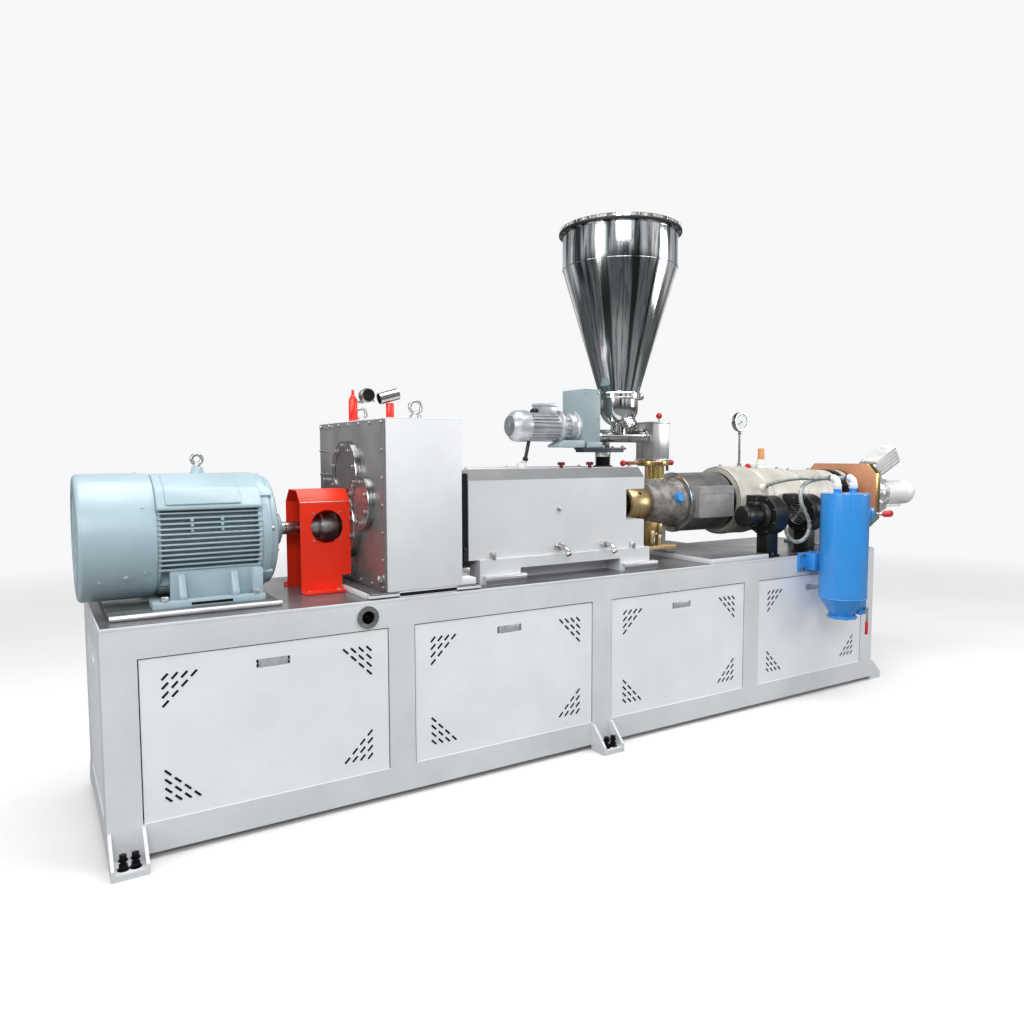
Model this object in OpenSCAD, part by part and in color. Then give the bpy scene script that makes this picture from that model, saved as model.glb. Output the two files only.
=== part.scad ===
// Conical twin-screw plastic extruder on a welded base frame, in millimetres.
// X runs along the machine from the motor to the die head, Y from the operator side to the back, Z up from the floor.
// The modules measure from the left front corner of the frame at floor level, and placed() centres the whole machine.

/* [Base frame] */
// Length of the base frame
frame_l = 3780; // [3500:10:4200]
// Width of the base frame, front face to rear face
frame_w = 716; // [640:2:800]
// Height of the base frame with its deck plate
frame_h = 720; // [600:5:800]
// Height of the frame's underside above the floor
foot_lift = 20; // [12:1:30]
// Width of each upright post and depth of each long rail
rail_w = 100; // [80:1:120]
// Height of the bottom rails
bottom_rail_h = 97; // [80:1:120]
// Height of the top rails, under the deck plate
top_rail_h = 92; // [90:1:120]
// Thickness of the deck plate
deck_t = 12; // [8:1:20]
// Number of panel bays along each side
bays = 4; // [3:1:5]
// Outer radius of the lifting tube that crosses the frame
lift_r = 40; // [30:1:42]
// Bore radius of the lifting tube
lift_bore_r = 23; // [18:0.5:26]
// Distance of the lifting tube from the left end
lift_x = 841; // [700:1:870]
// How far the lifting tube stands proud of each face
lift_proud = 6; // [2:1:12]

/* [Side panels] */
// Gap between a panel and its opening
panel_gap = 4; // [2:0.5:8]
// Thickness of a lift-off panel
panel_t = 4; // [2:0.5:8]
// Depth of a panel below the frame's face
panel_inset = 3; // [1:0.5:8]
// Depth of the folded edge that seats a panel on the bottom rail
panel_fold = 22; // [15:1:30]
// Length of a louvre slot between its round ends
slot_l = 19; // [12:1:22]
// Width of a louvre slot
slot_w = 6; // [4:0.5:8]
// Spacing of the louvre slots, along a row and from row to row
slot_pitch = 28.5; // [26:0.5:34]
// Number of slots in the longest row of a corner group
slot_rows = 4; // [2:1:4]
// Distance of a slot group from the panel's side edges
slot_margin_x = 72; // [60:1:110]
// Distance of a slot group from the panel's top and bottom edges
slot_margin_z = 62; // [50:1:90]
// Length of a recessed panel handle
handle_l = 118; // [90:1:150]
// Height of a recessed panel handle
handle_h = 34; // [24:1:44]
// Drop of the handle's centre below the panel's top edge
handle_drop = 62; // [45:1:90]

/* [Levelling feet] */
// Width of a levelling foot along the frame
foot_w = 106; // [80:1:130]
// Reach of a levelling foot beyond the frame
foot_reach = 90; // [70:1:110]
// Height of a foot's gussets above its plate
foot_h = 90; // [60:1:95]
// Thickness of the foot plate
foot_plate_t = 20; // [12:1:30]
// Thickness of a gusset
gusset_t = 10; // [6:1:14]

/* [Motor] */
// Height of the motor and gearbox input axis above the deck
input_h = 240; // [220:1:260]
// Outer radius of the motor's fins and cowl
motor_r = 211; // [190:1:215]
// Length of the fan cowl
cowl_l = 225; // [180:1:260]
// Length of the finned body
motor_l = 339; // [300:1:380]
// Length of the drive end bell
bell_l = 131; // [100:1:150]
// Depth of the cooling fins
fin_h = 30; // [20:1:40]
// Thickness of one cooling fin
fin_t = 8; // [5:0.5:10]
// Spacing of the cooling fins
fin_pitch = 24; // [20:1:28]
// Thickness of the motor's base plate
motor_base_t = 15; // [10:1:25]
// Width of the motor's base plate
motor_base_w = 546; // [530:2:600]
// Free length of shaft between the motor bell and the gearbox cover
shaft_gap = 223; // [200:1:260]
// Radius of the motor shaft
shaft_r = 24; // [18:0.5:28]
// Radius of the coupling hubs
coupling_r = 52; // [40:1:54]
// Running clearance of the shaft in its seats
shaft_clear = 0.5; // [0.3:0.1:1]

/* [Coupling guard] */
// Length of the guard along the shaft
guard_l = 186; // [150:1:190]
// Width of the guard
guard_w = 186; // [160:1:200]
// Height of the guard above the deck
guard_h = 384; // [350:1:420]
// Chamfer along the guard's top edges
guard_chamfer = 45; // [30:1:60]
// Thickness of the guard's sheet
guard_t = 4; // [2:0.5:6]
// Radius of the round window in the guard's front
window_r = 57; // [40:1:60]
// Reach of the guard's bolted foot flanges
guard_flange = 54; // [35:1:60]

/* [Gearbox] */
// Distance of the gearbox from the frame's left end
gearbox_x = 920; // [900:1:1000]
// Length of the gearbox along the machine
gearbox_l = 302; // [260:1:360]
// Height of the gearbox top above the deck
gearbox_h = 646; // [600:1:700]
// Height of the machined seat under the gearbox
seat_h = 21; // [12:1:30]
// How far the seat reaches past each side of the gearbox
seat_lap = 72; // [50:1:76]
// Thickness of the end plate
end_plate_t = 8; // [5:1:14]
// Thickness of the bearing covers
cover_t = 24; // [16:1:32]
// Radius of the top bearing cover
top_cover_r = 138; // [110:1:150]
// Radius of the two side bearing covers
side_cover_r = 102; // [80:1:110]
// Radius of the input bearing cover
input_cover_r = 128; // [100:1:140]
// Height of the top cover's centre above the input axis
top_cover_rise = 192; // [170:1:210]
// Height of the side covers' centres above the input axis
side_cover_rise = 96; // [80:1:110]
// Offset of the side covers from the axis
side_cover_y = 168; // [140:1:180]

/* [Distribution box] */
// Gap bridged by the connecting flange after the gearbox
flange_l = 78; // [60:1:100]
// Length of the distribution box
box_l = 900; // [800:1:1000]
// Width of the distribution box
box_w = 524; // [480:2:560]
// Height of the box's underside above the deck
pedestal_h = 97; // [80:1:120]
// Height of the box's top above the deck
box_h = 455; // [430:1:480]
// Chamfer along the box's top edges
box_chamfer = 42; // [20:1:60]
// Length of the coupling access cut-out at the box's right end
access_l = 104; // [80:1:140]
// Height of the access cut-out
access_h = 138; // [120:1:150]
// Depth of the access cut-out from the front
access_d = 384; // [350:1:420]
// Length of the pedestal
pedestal_l = 880; // [840:1:900]

/* [Barrel] */
// Height of the barrel axis above the deck
barrel_h = 270; // [262:1:280]
// Gap between the distribution box and the brass ring
ring_gap = 90; // [60:1:120]
// Length of the brass coupling ring
ring_l = 122; // [90:1:150]
// Outer radius of the brass coupling ring
ring_r = 82; // [72:1:95]
// Wall of the brass coupling ring
ring_t = 16; // [10:1:20]
// Length of the cast barrel neck
neck_l = 188; // [170:1:230]
// Radius of the cast barrel neck
neck_r = 112; // [100:1:118]
// Length of the flange behind the neck
barrel_flange_l = 80; // [60:1:90]
// Radius of the barrel flanges
barrel_flange_r = 130; // [122:1:140]
// Radius of the barrel's core inside the heaters
core_r = 95; // [80:1:100]
// Radius of the cast heater of the first zone
heater_1_r = 153; // [140:1:165]
// Length of the cast heater of the first zone
heater_1_l = 232; // [200:1:260]
// Radius of the clad heater of the second zone
heater_2_r = 178; // [166:1:185]
// Length of the clad heater of the second zone
heater_2_l = 200; // [180:1:230]
// Radius of the third heater zone at its right end
heater_3_r = 158; // [150:1:165]
// Length of the third heater zone
heater_3_l = 310; // [280:1:330]
// Radius of the fourth heater zone
heater_4_r = 150; // [140:1:156]
// Length of the fourth heater zone
heater_4_l = 470; // [420:1:500]
// Gap between heater zones
heater_gap = 10; // [6:1:16]
// Radius of the vent port
vent_r = 34; // [26:1:40]
// Radius of the pressure gauge's dial
gauge_r = 43; // [35:1:50]
// Height of the gauge's centre above the barrel axis
gauge_rise = 414; // [330:1:440]

/* [Cooling blowers] */
// Distance of the first blower from the frame's left end
blower_x = 2960; // [2945:1:2975]
// Spacing of the two blowers
blower_pitch = 285; // [275:1:300]
// Radius of a blower's scroll
scroll_r = 98; // [85:1:100]
// Width of a blower's scroll
scroll_w = 92; // [76:1:96]
// Radius of a blower's motor
blower_motor_r = 52; // [42:1:58]
// Length of a blower's motor
blower_motor_l = 146; // [120:1:160]
// Height of a blower's axis above the deck
blower_h = 206; // [200:1:230]

/* [Feeder and hopper] */
// Centre of the feed throat past the start of the barrel neck
throat_offset = 70; // [66:1:80]
// Radius of the feed throat
throat_r = 57; // [48:1:62]
// Height of the throat's flange above the deck
throat_flange_h = 482; // [470:1:500]
// Radius of the throat's flange
throat_flange_r = 110; // [95:1:115]
// Width of the square stainless duct
duct_w = 106; // [90:1:120]
// Height of the duct's top above the deck
duct_h = 670; // [650:1:700]
// Height of the feed screw's axis above the deck
feed_screw_h = 600; // [590:1:610]
// Radius of the feed screw's tube
feed_tube_r = 30; // [24:1:34]
// Height of the bowl's centre above the feed screw's axis
bowl_rise = 90; // [80:1:110]
// Distance between the hopper axis and the feed throat's centre
hopper_offset = 217; // [205:1:240]
// Radius of the hopper's cylinder
hopper_r = 270; // [230:1:300]
// Radius of the hopper's outlet
outlet_r = 96; // [85:1:105]
// Height of the hopper's outlet above the deck
outlet_h = 820; // [800:1:850]
// Height of the hopper's cone
hopper_cone_h = 589; // [520:1:640]
// Height of the hopper's cylinder
hopper_cyl_h = 176; // [140:1:240]
// Thickness of the hopper's wall
hopper_t = 4; // [2:0.5:6]
// Width of the hopper's rim
rim_w = 22; // [14:1:30]
// Length of the chain case along the machine
chain_case_l = 100; // [80:1:110]
// Radius of the feeder motor
feeder_motor_r = 70; // [60:1:74]
// Length of the feeder motor with its fan cowl
feeder_motor_l = 252; // [220:1:280]

/* [Vacuum pot] */
// Distance of the pot's axis from the frame's left end
pot_x = 3290; // [3250:1:3400]
// Distance of the pot's axis in front of the frame
pot_y = 156; // [150:1:170]
// Radius of the pot
pot_r = 128; // [110:1:135]
// Height of the pot's top above the deck
pot_top = 319; // [280:1:340]
// Length of the pot's cylinder
pot_l = 521; // [480:1:560]
// Height of the pot's cone
pot_cone_h = 92; // [70:1:120]
// Radius of the pot's bottom flange
pot_flange_r = 72; // [60:1:80]
// Length of the pot's valve levers
lever_l = 96; // [80:1:110]
// Diameter of the vacuum hoses
hose_d = 20; // [16:1:22]

/* [Die head] */
// Thickness of the copper-coloured head plate
head_plate_t = 50; // [35:1:60]
// Half height of the head plate
head_plate_h = 174; // [160:1:190]
// Width of the head plate
head_plate_w = 524; // [480:2:560]
// Radius of the cutter hood
hood_r = 150; // [130:1:165]
// Length of the cutter hood
hood_l = 246; // [200:1:280]
// Radius of the cutter motor
cutter_r = 76; // [65:1:85]
// Length of the cutter motor
cutter_l = 380; // [320:1:420]

/* [Hidden] */

$fn = 96;
eps = 0.01;      // overshoot of a cut past the face it opens
fit = 0.3;       // seat clearance between curved faces

// Heights above the floor
deck_z = foot_lift + frame_h;
rail_top_z = deck_z - deck_t;
opening_z = foot_lift + bottom_rail_h;
opening_top = rail_top_z - top_rail_h;
opening_h = opening_top - opening_z;
lift_z = rail_top_z - top_rail_h / 2;
input_z = deck_z + input_h;
seat_z = deck_z + seat_h;
gearbox_top = deck_z + gearbox_h;
box_z = deck_z + pedestal_h;
box_top = deck_z + box_h;
barrel_z = deck_z + barrel_h;
throat_top = deck_z + throat_flange_h;
feed_z = deck_z + feed_screw_h;
outlet_z = deck_z + outlet_h;
hopper_top = outlet_z + hopper_cone_h + hopper_cyl_h;
blower_z = deck_z + blower_h;

// Places along the frame
axis_y = frame_w / 2;
bay_pitch = (frame_l - rail_w) / bays;
opening_w = bay_pitch - rail_w;
end_opening_w = frame_w - 2 * rail_w;
input_cover_x = gearbox_x - end_plate_t - cover_t - 8;
bell_end = input_cover_x - shaft_gap;
bell_x = bell_end - bell_l;
motor_x = bell_x - motor_l;
cowl_x = motor_x - cowl_l;
box_x = gearbox_x + gearbox_l + flange_l;
box_end = box_x + box_l;
box_y = axis_y - box_w / 2;
ring_x = box_end + ring_gap;
neck_x = ring_x + ring_l;
barrel_flange_x = neck_x + neck_l;
heater_1_x = barrel_flange_x + barrel_flange_l;
heater_2_x = heater_1_x + heater_1_l + heater_gap;
heater_3_x = heater_2_x + heater_2_l + heater_gap;
heater_4_x = heater_3_x + heater_3_l + heater_gap;
barrel_end = heater_4_x + heater_4_l + heater_gap;
head_flange_l = 30;
head_x = barrel_end + head_flange_l;
hood_x = head_x + head_plate_t;
cutter_x = hood_x + hood_l;
throat_x = neck_x + throat_offset;
hopper_x = throat_x - hopper_offset;
pot_axis_y = -pot_y;

// Corners of the machine, which centre it on the origin
x_low = cowl_x;
x_high = cutter_x + cutter_l;
y_low = pot_axis_y - pot_r;
y_high = frame_w + foot_reach;

module placed() translate([-(x_low + x_high) / 2, -(y_low + y_high) / 2, 0]) children();
module block(x, y, z, l, w, h) translate([x, y, z]) cube([l, w, h]);
module x_rod(x, y, z, l, r) translate([x, y, z]) rotate([0, 90, 0]) cylinder(h = l, r = r);
module y_rod(x, y, z, l, r) translate([x, y + l, z]) rotate([90, 0, 0]) cylinder(h = l, r = r);
module z_rod(x, y, z, l, r) translate([x, y, z]) cylinder(h = l, r = r);
// Extrudes a drawing of the machine's cross-section, Y across and Z up, along X
module along_x(x, l) translate([x, 0, 0]) rotate([90, 0, 90]) linear_extrude(l) children();

// Base frame
function post_x(i) = i * bay_pitch;

module bottom_rails() placed() color("silver")
    for (y = [0, frame_w - rail_w]) block(0, y, foot_lift, frame_l, rail_w, bottom_rail_h);

module top_rails() placed() color("silver") difference() {
    for (y = [0, frame_w - rail_w]) block(0, y, opening_top, frame_l, rail_w, top_rail_h);
    y_rod(lift_x, -1, lift_z, frame_w + 2, lift_r + fit);
}

module cross_rails() placed() color("silver")
    for (i = [0 : bays]) {
        block(post_x(i), rail_w, foot_lift, rail_w, end_opening_w, bottom_rail_h);
        block(post_x(i), rail_w, opening_top, rail_w, end_opening_w, top_rail_h);
    }

module frame_posts() placed() color("silver")
    for (i = [0 : bays], y = [0, frame_w - rail_w])
        block(post_x(i), y, opening_z, rail_w, rail_w, opening_h);

module deck() placed() color("gray") block(0, 0, rail_top_z, frame_l, frame_w, deck_t);

barrel_seat_l = 393;
barrel_seat_h = 24;
module machined_seats() placed() color("silver") {
    difference() {
        block(gearbox_x - seat_lap, 0, deck_z, gearbox_l + flange_l + seat_lap, frame_w, seat_h);
        block(gearbox_x + 45, -1, deck_z + seat_h / 3, gearbox_l - 72, 26, seat_h / 3);
    }
    block(barrel_flange_x - barrel_flange_l + 9, 0, deck_z, barrel_seat_l, frame_w, barrel_seat_h);
}

module lifting_tube() placed() color("silver") difference() {
    y_rod(lift_x, -lift_proud, lift_z, frame_w + 2 * lift_proud, lift_r);
    y_rod(lift_x, -lift_proud - 1, lift_z, frame_w + 2 * lift_proud + 2, lift_bore_r);
}

// One levelling foot with two gussets, drawn against a frame face at y = 0 and reaching towards -Y
module foot() {
    translate([0, -foot_reach, 0]) cube([foot_w, foot_reach, foot_plate_t]);
    for (x = [0, foot_w - gusset_t]) translate([x, 0, foot_plate_t]) rotate([90, 0, 90])
        linear_extrude(gusset_t) polygon([[0, 0], [-foot_reach, 0], [-foot_reach, 14], [-14, foot_h], [0, foot_h]]);
}

mid_foot_x = post_x(floor(bays / 2)) - 5;
module foot_brackets() placed() color("silver")
    for (side = [0, 1]) translate([0, side * frame_w, 0]) mirror([0, side, 0]) {
        foot();
        translate([mid_foot_x, 0, 0]) foot();
        translate([frame_l, foot_w, 0]) rotate([0, 0, 90]) translate([-foot_w, 0, 0]) foot();
    }

// Side panels
module slot() rotate(45) {
    square([slot_w, slot_l], center = true);
    for (s = [-1, 1]) translate([0, s * slot_l / 2]) circle(d = slot_w, $fn = 24);
}

// A triangular corner group of slanted slots, its longest row along the bottom edge
module slot_group()
    for (row = [0 : slot_rows - 1], i = [0 : slot_rows - 1 - row])
        translate([i * slot_pitch, row * slot_pitch]) slot();

module panel_face(w, slotted) difference() {
    square([w - 2 * panel_gap, opening_h - panel_gap]);
    translate([(w - 2 * panel_gap - handle_l) / 2, opening_h - panel_gap - handle_drop - handle_h / 2])
        square([handle_l, handle_h]);
    if (slotted)
        for (mx = [0, 1], mz = [0, 1])
            translate([mx * (w - 2 * panel_gap), mz * (opening_h - panel_gap)])
                mirror([mx, 0]) mirror([0, mz]) translate([slot_margin_x, slot_margin_z]) slot_group();
}

// A lift-off panel with a folded bottom edge and a recessed handle, facing -Y, its left bottom corner at the origin
module panel(w, slotted) {
    face_w = w - 2 * panel_gap;
    translate([0, panel_t, 0]) rotate([90, 0, 0]) linear_extrude(panel_t) panel_face(w, slotted);
    translate([0, panel_t - eps, 0]) cube([face_w, panel_fold - panel_t, panel_t]);
    translate([(face_w - handle_l) / 2, 0, opening_h - panel_gap - handle_drop - handle_h / 2]) difference() {
        translate([-3, 0, -3]) cube([handle_l + 6, 16, handle_h + 6]);
        translate([3, -1, 3]) cube([handle_l - 6, 14, handle_h - 6]);
    }
}

module long_side_panels()
    for (i = [0 : bays - 1])
        translate([post_x(i) + rail_w + panel_gap, panel_inset, opening_z]) panel(opening_w, true);

module front_panels() placed() color("white") long_side_panels();
module rear_panels() placed() color("white") translate([frame_l, frame_w, 0]) rotate([0, 0, 180]) long_side_panels();
module end_panels() placed() color("white") {
    translate([panel_inset, frame_w - rail_w - panel_gap, opening_z]) rotate([0, 0, -90]) panel(end_opening_w, false);
    translate([frame_l - panel_inset, rail_w + panel_gap, opening_z]) rotate([0, 0, 90]) panel(end_opening_w, false);
}

// Main motor
motor_foot_l = 300;
motor_foot_w = 90;
motor_foot_y = 170;
motor_foot_x = motor_x + (motor_l - motor_foot_l) / 2 + 20;
motor_base_x = motor_foot_x - 191;
motor_base_l = motor_foot_l + 230;
module motor_base() placed() color("gainsboro")
    block(motor_base_x, axis_y - motor_base_w / 2, deck_z, motor_base_l, motor_base_w, motor_base_t);

// The cross-section of the finned body: a round core, side fins that lie flat and top and bottom fins that stand
module fin_section() {
    core = motor_r - fin_h;
    count = floor(core * 0.72 / fin_pitch);
    circle(r = core);
    intersection() {
        circle(r = motor_r);
        for (i = [-count : count]) {
            translate([0, i * fin_pitch]) square([2 * motor_r, fin_t], center = true);
            translate([i * fin_pitch, 0]) square([fin_t, 2 * motor_r], center = true);
        }
    }
}

pad_l = 200;
pad_h = 92;
module motor_body() placed() color("lightsteelblue") {
    along_x(motor_x, motor_l) translate([axis_y, input_z]) fin_section();
    // Raised terminal pad on the operator side
    block(motor_x + 25, axis_y - motor_r + 6, input_z + 70, pad_l, 90, pad_h);
    // Feet cast to the body
    for (s = [-1, 1])
        block(motor_foot_x, axis_y + s * motor_foot_y - motor_foot_w / 2, deck_z + motor_base_t,
              motor_foot_l, motor_foot_w, 24);
    for (s = [-1, 1], x = [motor_foot_x + 12, motor_foot_x + motor_foot_l - 102])
        block(x, axis_y + s * (motor_foot_y - 12) - 32, deck_z + motor_base_t, 90, 64, 110);
    // Lifting eye
    translate([motor_x + motor_l * 0.62, axis_y, input_z + motor_r + 24]) rotate([90, 0, 0])
        rotate_extrude($fn = 48) translate([24, 0]) circle(r = 8, $fn = 24);
    z_rod(motor_x + motor_l * 0.62, axis_y, input_z + motor_r - fin_h - 4, fin_h + 10, 20);
}

cowl_round = 40;
module fan_cowl() placed() color("lightsteelblue")
    translate([cowl_x, axis_y, input_z]) rotate([0, 90, 0]) difference() {
        rotate_extrude() {
            translate([0, cowl_round]) square([motor_r + 2, cowl_l - cowl_round]);
            square([motor_r + 2 - cowl_round, cowl_l]);
            translate([motor_r + 2 - cowl_round, cowl_round]) circle(r = cowl_round);
        }
        // Air inlet grooves
        for (r = [50, 80, 110, 140]) translate([0, 0, -1]) difference() {
            cylinder(h = 13, r = r + 9);
            translate([0, 0, -1]) cylinder(h = 15, r = r - 9);
            for (a = [0 : 45 : 135]) rotate(a) translate([-200, -7, -1]) cube([400, 14, 15]);
        }
    }

bell_seat_d = 18;
module motor_end_bell() placed() color("lightsteelblue") difference() {
    union() {
        translate([bell_x, axis_y, input_z]) rotate([0, 90, 0]) rotate_extrude()
            polygon([[0, 0], [motor_r - 6, 0], [motor_r - 6, 48], [motor_r - 26, 62], [motor_r - 60, 96],
                     [96, bell_l - 16], [70, bell_l - 16], [70, bell_l], [0, bell_l]]);
        for (a = [45 : 90 : 315])
            translate([bell_x, axis_y, input_z]) rotate([a, 0, 0]) translate([0, -22, motor_r - 30]) cube([46, 44, 34]);
    }
    x_rod(bell_end - bell_seat_d, axis_y, input_z, bell_seat_d + 1, shaft_r + shaft_clear);
}

// Rotating drive line between the motor and the gearbox
shaft_x = bell_end - bell_seat_d + 1;
shaft_end = input_cover_x + bell_seat_d - 1;
coupling_l = 118;
coupling_x = (bell_end + input_cover_x - coupling_l) / 2 + 22;
module drive_shaft() placed() color("silver") difference() {
    x_rod(shaft_x, axis_y, input_z, shaft_end - shaft_x, shaft_r);
    block(bell_end + 14, axis_y - 7, input_z + shaft_r - 5, 40, 14, 10);
}

module shaft_coupling() placed() color("dimgray") difference() {
    translate([coupling_x, axis_y, input_z]) rotate([0, 90, 0]) rotate_extrude()
        polygon([[shaft_r, 0], [coupling_r - 6, 0], [coupling_r - 6, 46], [coupling_r, 50], [coupling_r, coupling_l - 4],
                 [coupling_r - 4, coupling_l], [shaft_r, coupling_l]]);
    for (a = [0 : 60 : 300]) rotate_about_input(a)
        translate([coupling_x + 60, axis_y - 5, input_z + coupling_r - 8]) cube([30, 10, 12]);
}

module rotate_about_input(a) translate([0, axis_y, input_z]) rotate([a, 0, 0]) translate([0, -axis_y, -input_z]) children();

// Coupling guard
guard_x = bell_end + 30;
guard_y = axis_y - guard_w / 2;
notch_l = 34;
notch_h = 60;
module guard_outline(t) polygon([
    [guard_y + t, deck_z - (t > 0 ? 1 : 0)], [guard_y + t, deck_z + guard_h - guard_chamfer - t * 0.41],
    [guard_y + guard_chamfer + t * 0.41, deck_z + guard_h - t],
    [guard_y + guard_w - guard_chamfer - t * 0.41, deck_z + guard_h - t],
    [guard_y + guard_w - t, deck_z + guard_h - guard_chamfer - t * 0.41], [guard_y + guard_w - t, deck_z - (t > 0 ? 1 : 0)]
]);
module coupling_guard() placed() color("orangered") difference() {
    union() {
        along_x(guard_x, guard_l) difference() {
            guard_outline(0);
            guard_outline(guard_t);
        }
        block(guard_x, guard_y - guard_flange, deck_z, guard_l - notch_l, guard_flange + eps, guard_t);
        block(guard_x, guard_y + guard_w - eps, deck_z, guard_l - notch_l, guard_flange, guard_t);
    }
    y_rod(guard_x + guard_l * 0.52, guard_y - 1, input_z + 6, guard_t + 2, window_r);
    block(guard_x + guard_l - notch_l, guard_y - 1, deck_z - 1, notch_l + 1, guard_w + 2, notch_h + 1);
}

// Gearbox
module gearbox_housing() placed() color("gainsboro") {
    block(gearbox_x, 0, seat_z, gearbox_l, frame_w, gearbox_top - seat_z);
    // Cast foot ledge on the outlet side
    block(gearbox_x + gearbox_l - eps, 0, seat_z, 60, frame_w, 26);
}

module gearbox_end_plate() placed() color("dimgray")
    translate([gearbox_x, 0, seat_z]) rotate([0, -90, 0]) linear_extrude(end_plate_t)
        polygon([[12, 6], [gearbox_top - seat_z - 4, 6], [gearbox_top - seat_z - 4, frame_w - 6], [12, frame_w - 6],
                 [4, frame_w - 14], [4, 14]]);

// A round bearing cover against the end plate, with a raised rim
module bearing_cover(dy, dz, r, t) translate([gearbox_x - end_plate_t - t, axis_y + dy, input_z + dz])
    rotate([0, 90, 0]) difference() {
        rotate_extrude() polygon([[0, 0], [r - 6, 0], [r, 6], [r, t], [0, t]]);
        translate([0, 0, -1]) cylinder(h = 7, r = r - 14);
    }

module bearing_covers() placed() color("lightgray") difference() {
    union() {
        bearing_cover(0, top_cover_rise, top_cover_r, cover_t);
        for (s = [-1, 1]) bearing_cover(s * side_cover_y, side_cover_rise, side_cover_r, cover_t + 4);
        bearing_cover(0, 0, input_cover_r, cover_t + 8);
        x_rod(input_cover_x, axis_y, input_z, cover_t + 4, 70);
    }
    x_rod(input_cover_x - 1, axis_y, input_z, bell_seat_d + 1, shaft_r + shaft_clear);
}

// A lifting eye with its collar
module lifting_eye(x, y) {
    z_rod(x, y, gearbox_top, 14, 24);
    translate([x, y, gearbox_top + 36]) rotate([90, 0, 0]) rotate_extrude($fn = 48) translate([26, 0]) circle(r = 8, $fn = 24);
}

module gearbox_fittings() placed() color("silver") {
    lifting_eye(gearbox_x + gearbox_l / 2, 80);
    lifting_eye(gearbox_x + gearbox_l / 2, frame_w - 80);
    // Two red posts, each with a stainless sleeve across its top
    z_rod(gearbox_x + 80, axis_y + 182, gearbox_top, 106, 14);
    y_rod(gearbox_x + 80, axis_y + 130, gearbox_top + 72, 84, 30);
    z_rod(gearbox_x + 230, axis_y + 172, gearbox_top, 76, 14);
    x_rod(gearbox_x + 188, axis_y + 172, gearbox_top + 72, 88, 30);
}

module connecting_flange() placed() color("dimgray") {
    flange_z = seat_z + 26;
    block(gearbox_x + gearbox_l, box_y + 6, flange_z, 30, box_w - 12, box_top - flange_z - 15);
    block(gearbox_x + gearbox_l + 30 - eps, box_y + 40, flange_z, flange_l - 60 + 2 * eps, box_w - 80, box_top - flange_z - 50);
    block(gearbox_x + gearbox_l + flange_l - 30, box_y + 6, flange_z, 30, box_w - 12, box_top - flange_z - 15);
}

// Distribution box on its pedestal
pedestal_x = box_end + 22 - pedestal_l;
pedestal_y = box_y - 14;
pedestal_w = box_w + 28;
foot_l = 190;
module pedestal() placed() color("silver") {
    difference() {
        block(pedestal_x, pedestal_y, deck_z, pedestal_l, pedestal_w, pedestal_h);
        for (y = [pedestal_y - 1, pedestal_y + pedestal_w - 99])
            block(pedestal_x + foot_l, y, deck_z - 1, pedestal_l - 2 * foot_l + 20, 100, 56);
    }
    for (x = [pedestal_x + 14, pedestal_x + pedestal_l - foot_l + 30], y = [pedestal_y - 24, pedestal_y + pedestal_w - eps])
        block(x, y, deck_z, foot_l, 24, 34);
    for (x = [pedestal_x + 64, pedestal_x + pedestal_l - 92], y = [pedestal_y + 7, pedestal_y + pedestal_w - 7])
        z_rod(x, y, box_z - 20, 20 + 24, 6);
}

module box_section() polygon([
    [box_y, box_z], [box_y, box_top - box_chamfer], [box_y + box_chamfer, box_top],
    [box_y + box_w - box_chamfer, box_top], [box_y + box_w, box_top - box_chamfer], [box_y + box_w, box_z]
]);
module distribution_box() placed() color("silver") difference() {
    along_x(box_x, box_l) box_section();
    block(box_end - access_l, box_y - 1, barrel_z - access_h / 2 + 20, access_l + 1, access_d + 1, access_h);
}

// A drain pipe that leaves the box's front and turns down
drain_r = 11;
module drain_pipe(x) {
    y_rod(x, box_y - 36, box_z + 42, 36, drain_r);
    translate([x, box_y - 36, box_z + 42 - 22]) rotate([90, 0, -90]) rotate_extrude(angle = 90, $fn = 48)
        translate([22, 0]) circle(r = drain_r, $fn = 32);
    z_rod(x, box_y - 58, box_z + 4, 16 + eps, drain_r);
}
module drain_pipes() placed() color("silver") {
    drain_pipe(box_x + 400);
    drain_pipe(box_x + 690);
}

// Barrel line
module screw_shafts() placed() color("dimgray")
    for (s = [-1, 1]) x_rod(box_end - access_l, axis_y + s * 27, barrel_z, access_l + ring_gap + ring_l - fit, 20);

module coupling_ring() placed() color("darkgoldenrod") difference() {
    x_rod(ring_x, axis_y, barrel_z, ring_l - fit, ring_r);
    x_rod(ring_x - 1, axis_y, barrel_z, ring_l + 2, ring_r - ring_t);
    for (a = [30 : 60 : 330]) translate([ring_x + ring_l * 0.4, axis_y, barrel_z]) rotate([a, 0, 0])
        cylinder(h = ring_r + 1, r = 7, $fn = 32);
}

throat_pad_r = throat_offset - 4;
throat_pad_z = barrel_z + neck_r + 10;
module barrel() placed() color("gray") {
    translate([neck_x, axis_y, barrel_z]) rotate([0, 90, 0]) rotate_extrude() polygon([
        [0, 0], [neck_r - 12, 0], [neck_r, 12], [neck_r, neck_l], [barrel_flange_r, neck_l],
        [barrel_flange_r, neck_l + 34], [barrel_flange_r - 12, neck_l + 34], [barrel_flange_r - 12, neck_l + 44],
        [barrel_flange_r, neck_l + 44], [barrel_flange_r, neck_l + barrel_flange_l - 4],
        [core_r, neck_l + barrel_flange_l - 4], [core_r, barrel_end - neck_x],
        [barrel_flange_r, barrel_end - neck_x], [barrel_flange_r, head_x - neck_x], [0, head_x - neck_x]
    ]);
    z_rod(throat_x, axis_y, barrel_z, throat_pad_z - barrel_z, throat_pad_r);
}

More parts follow.
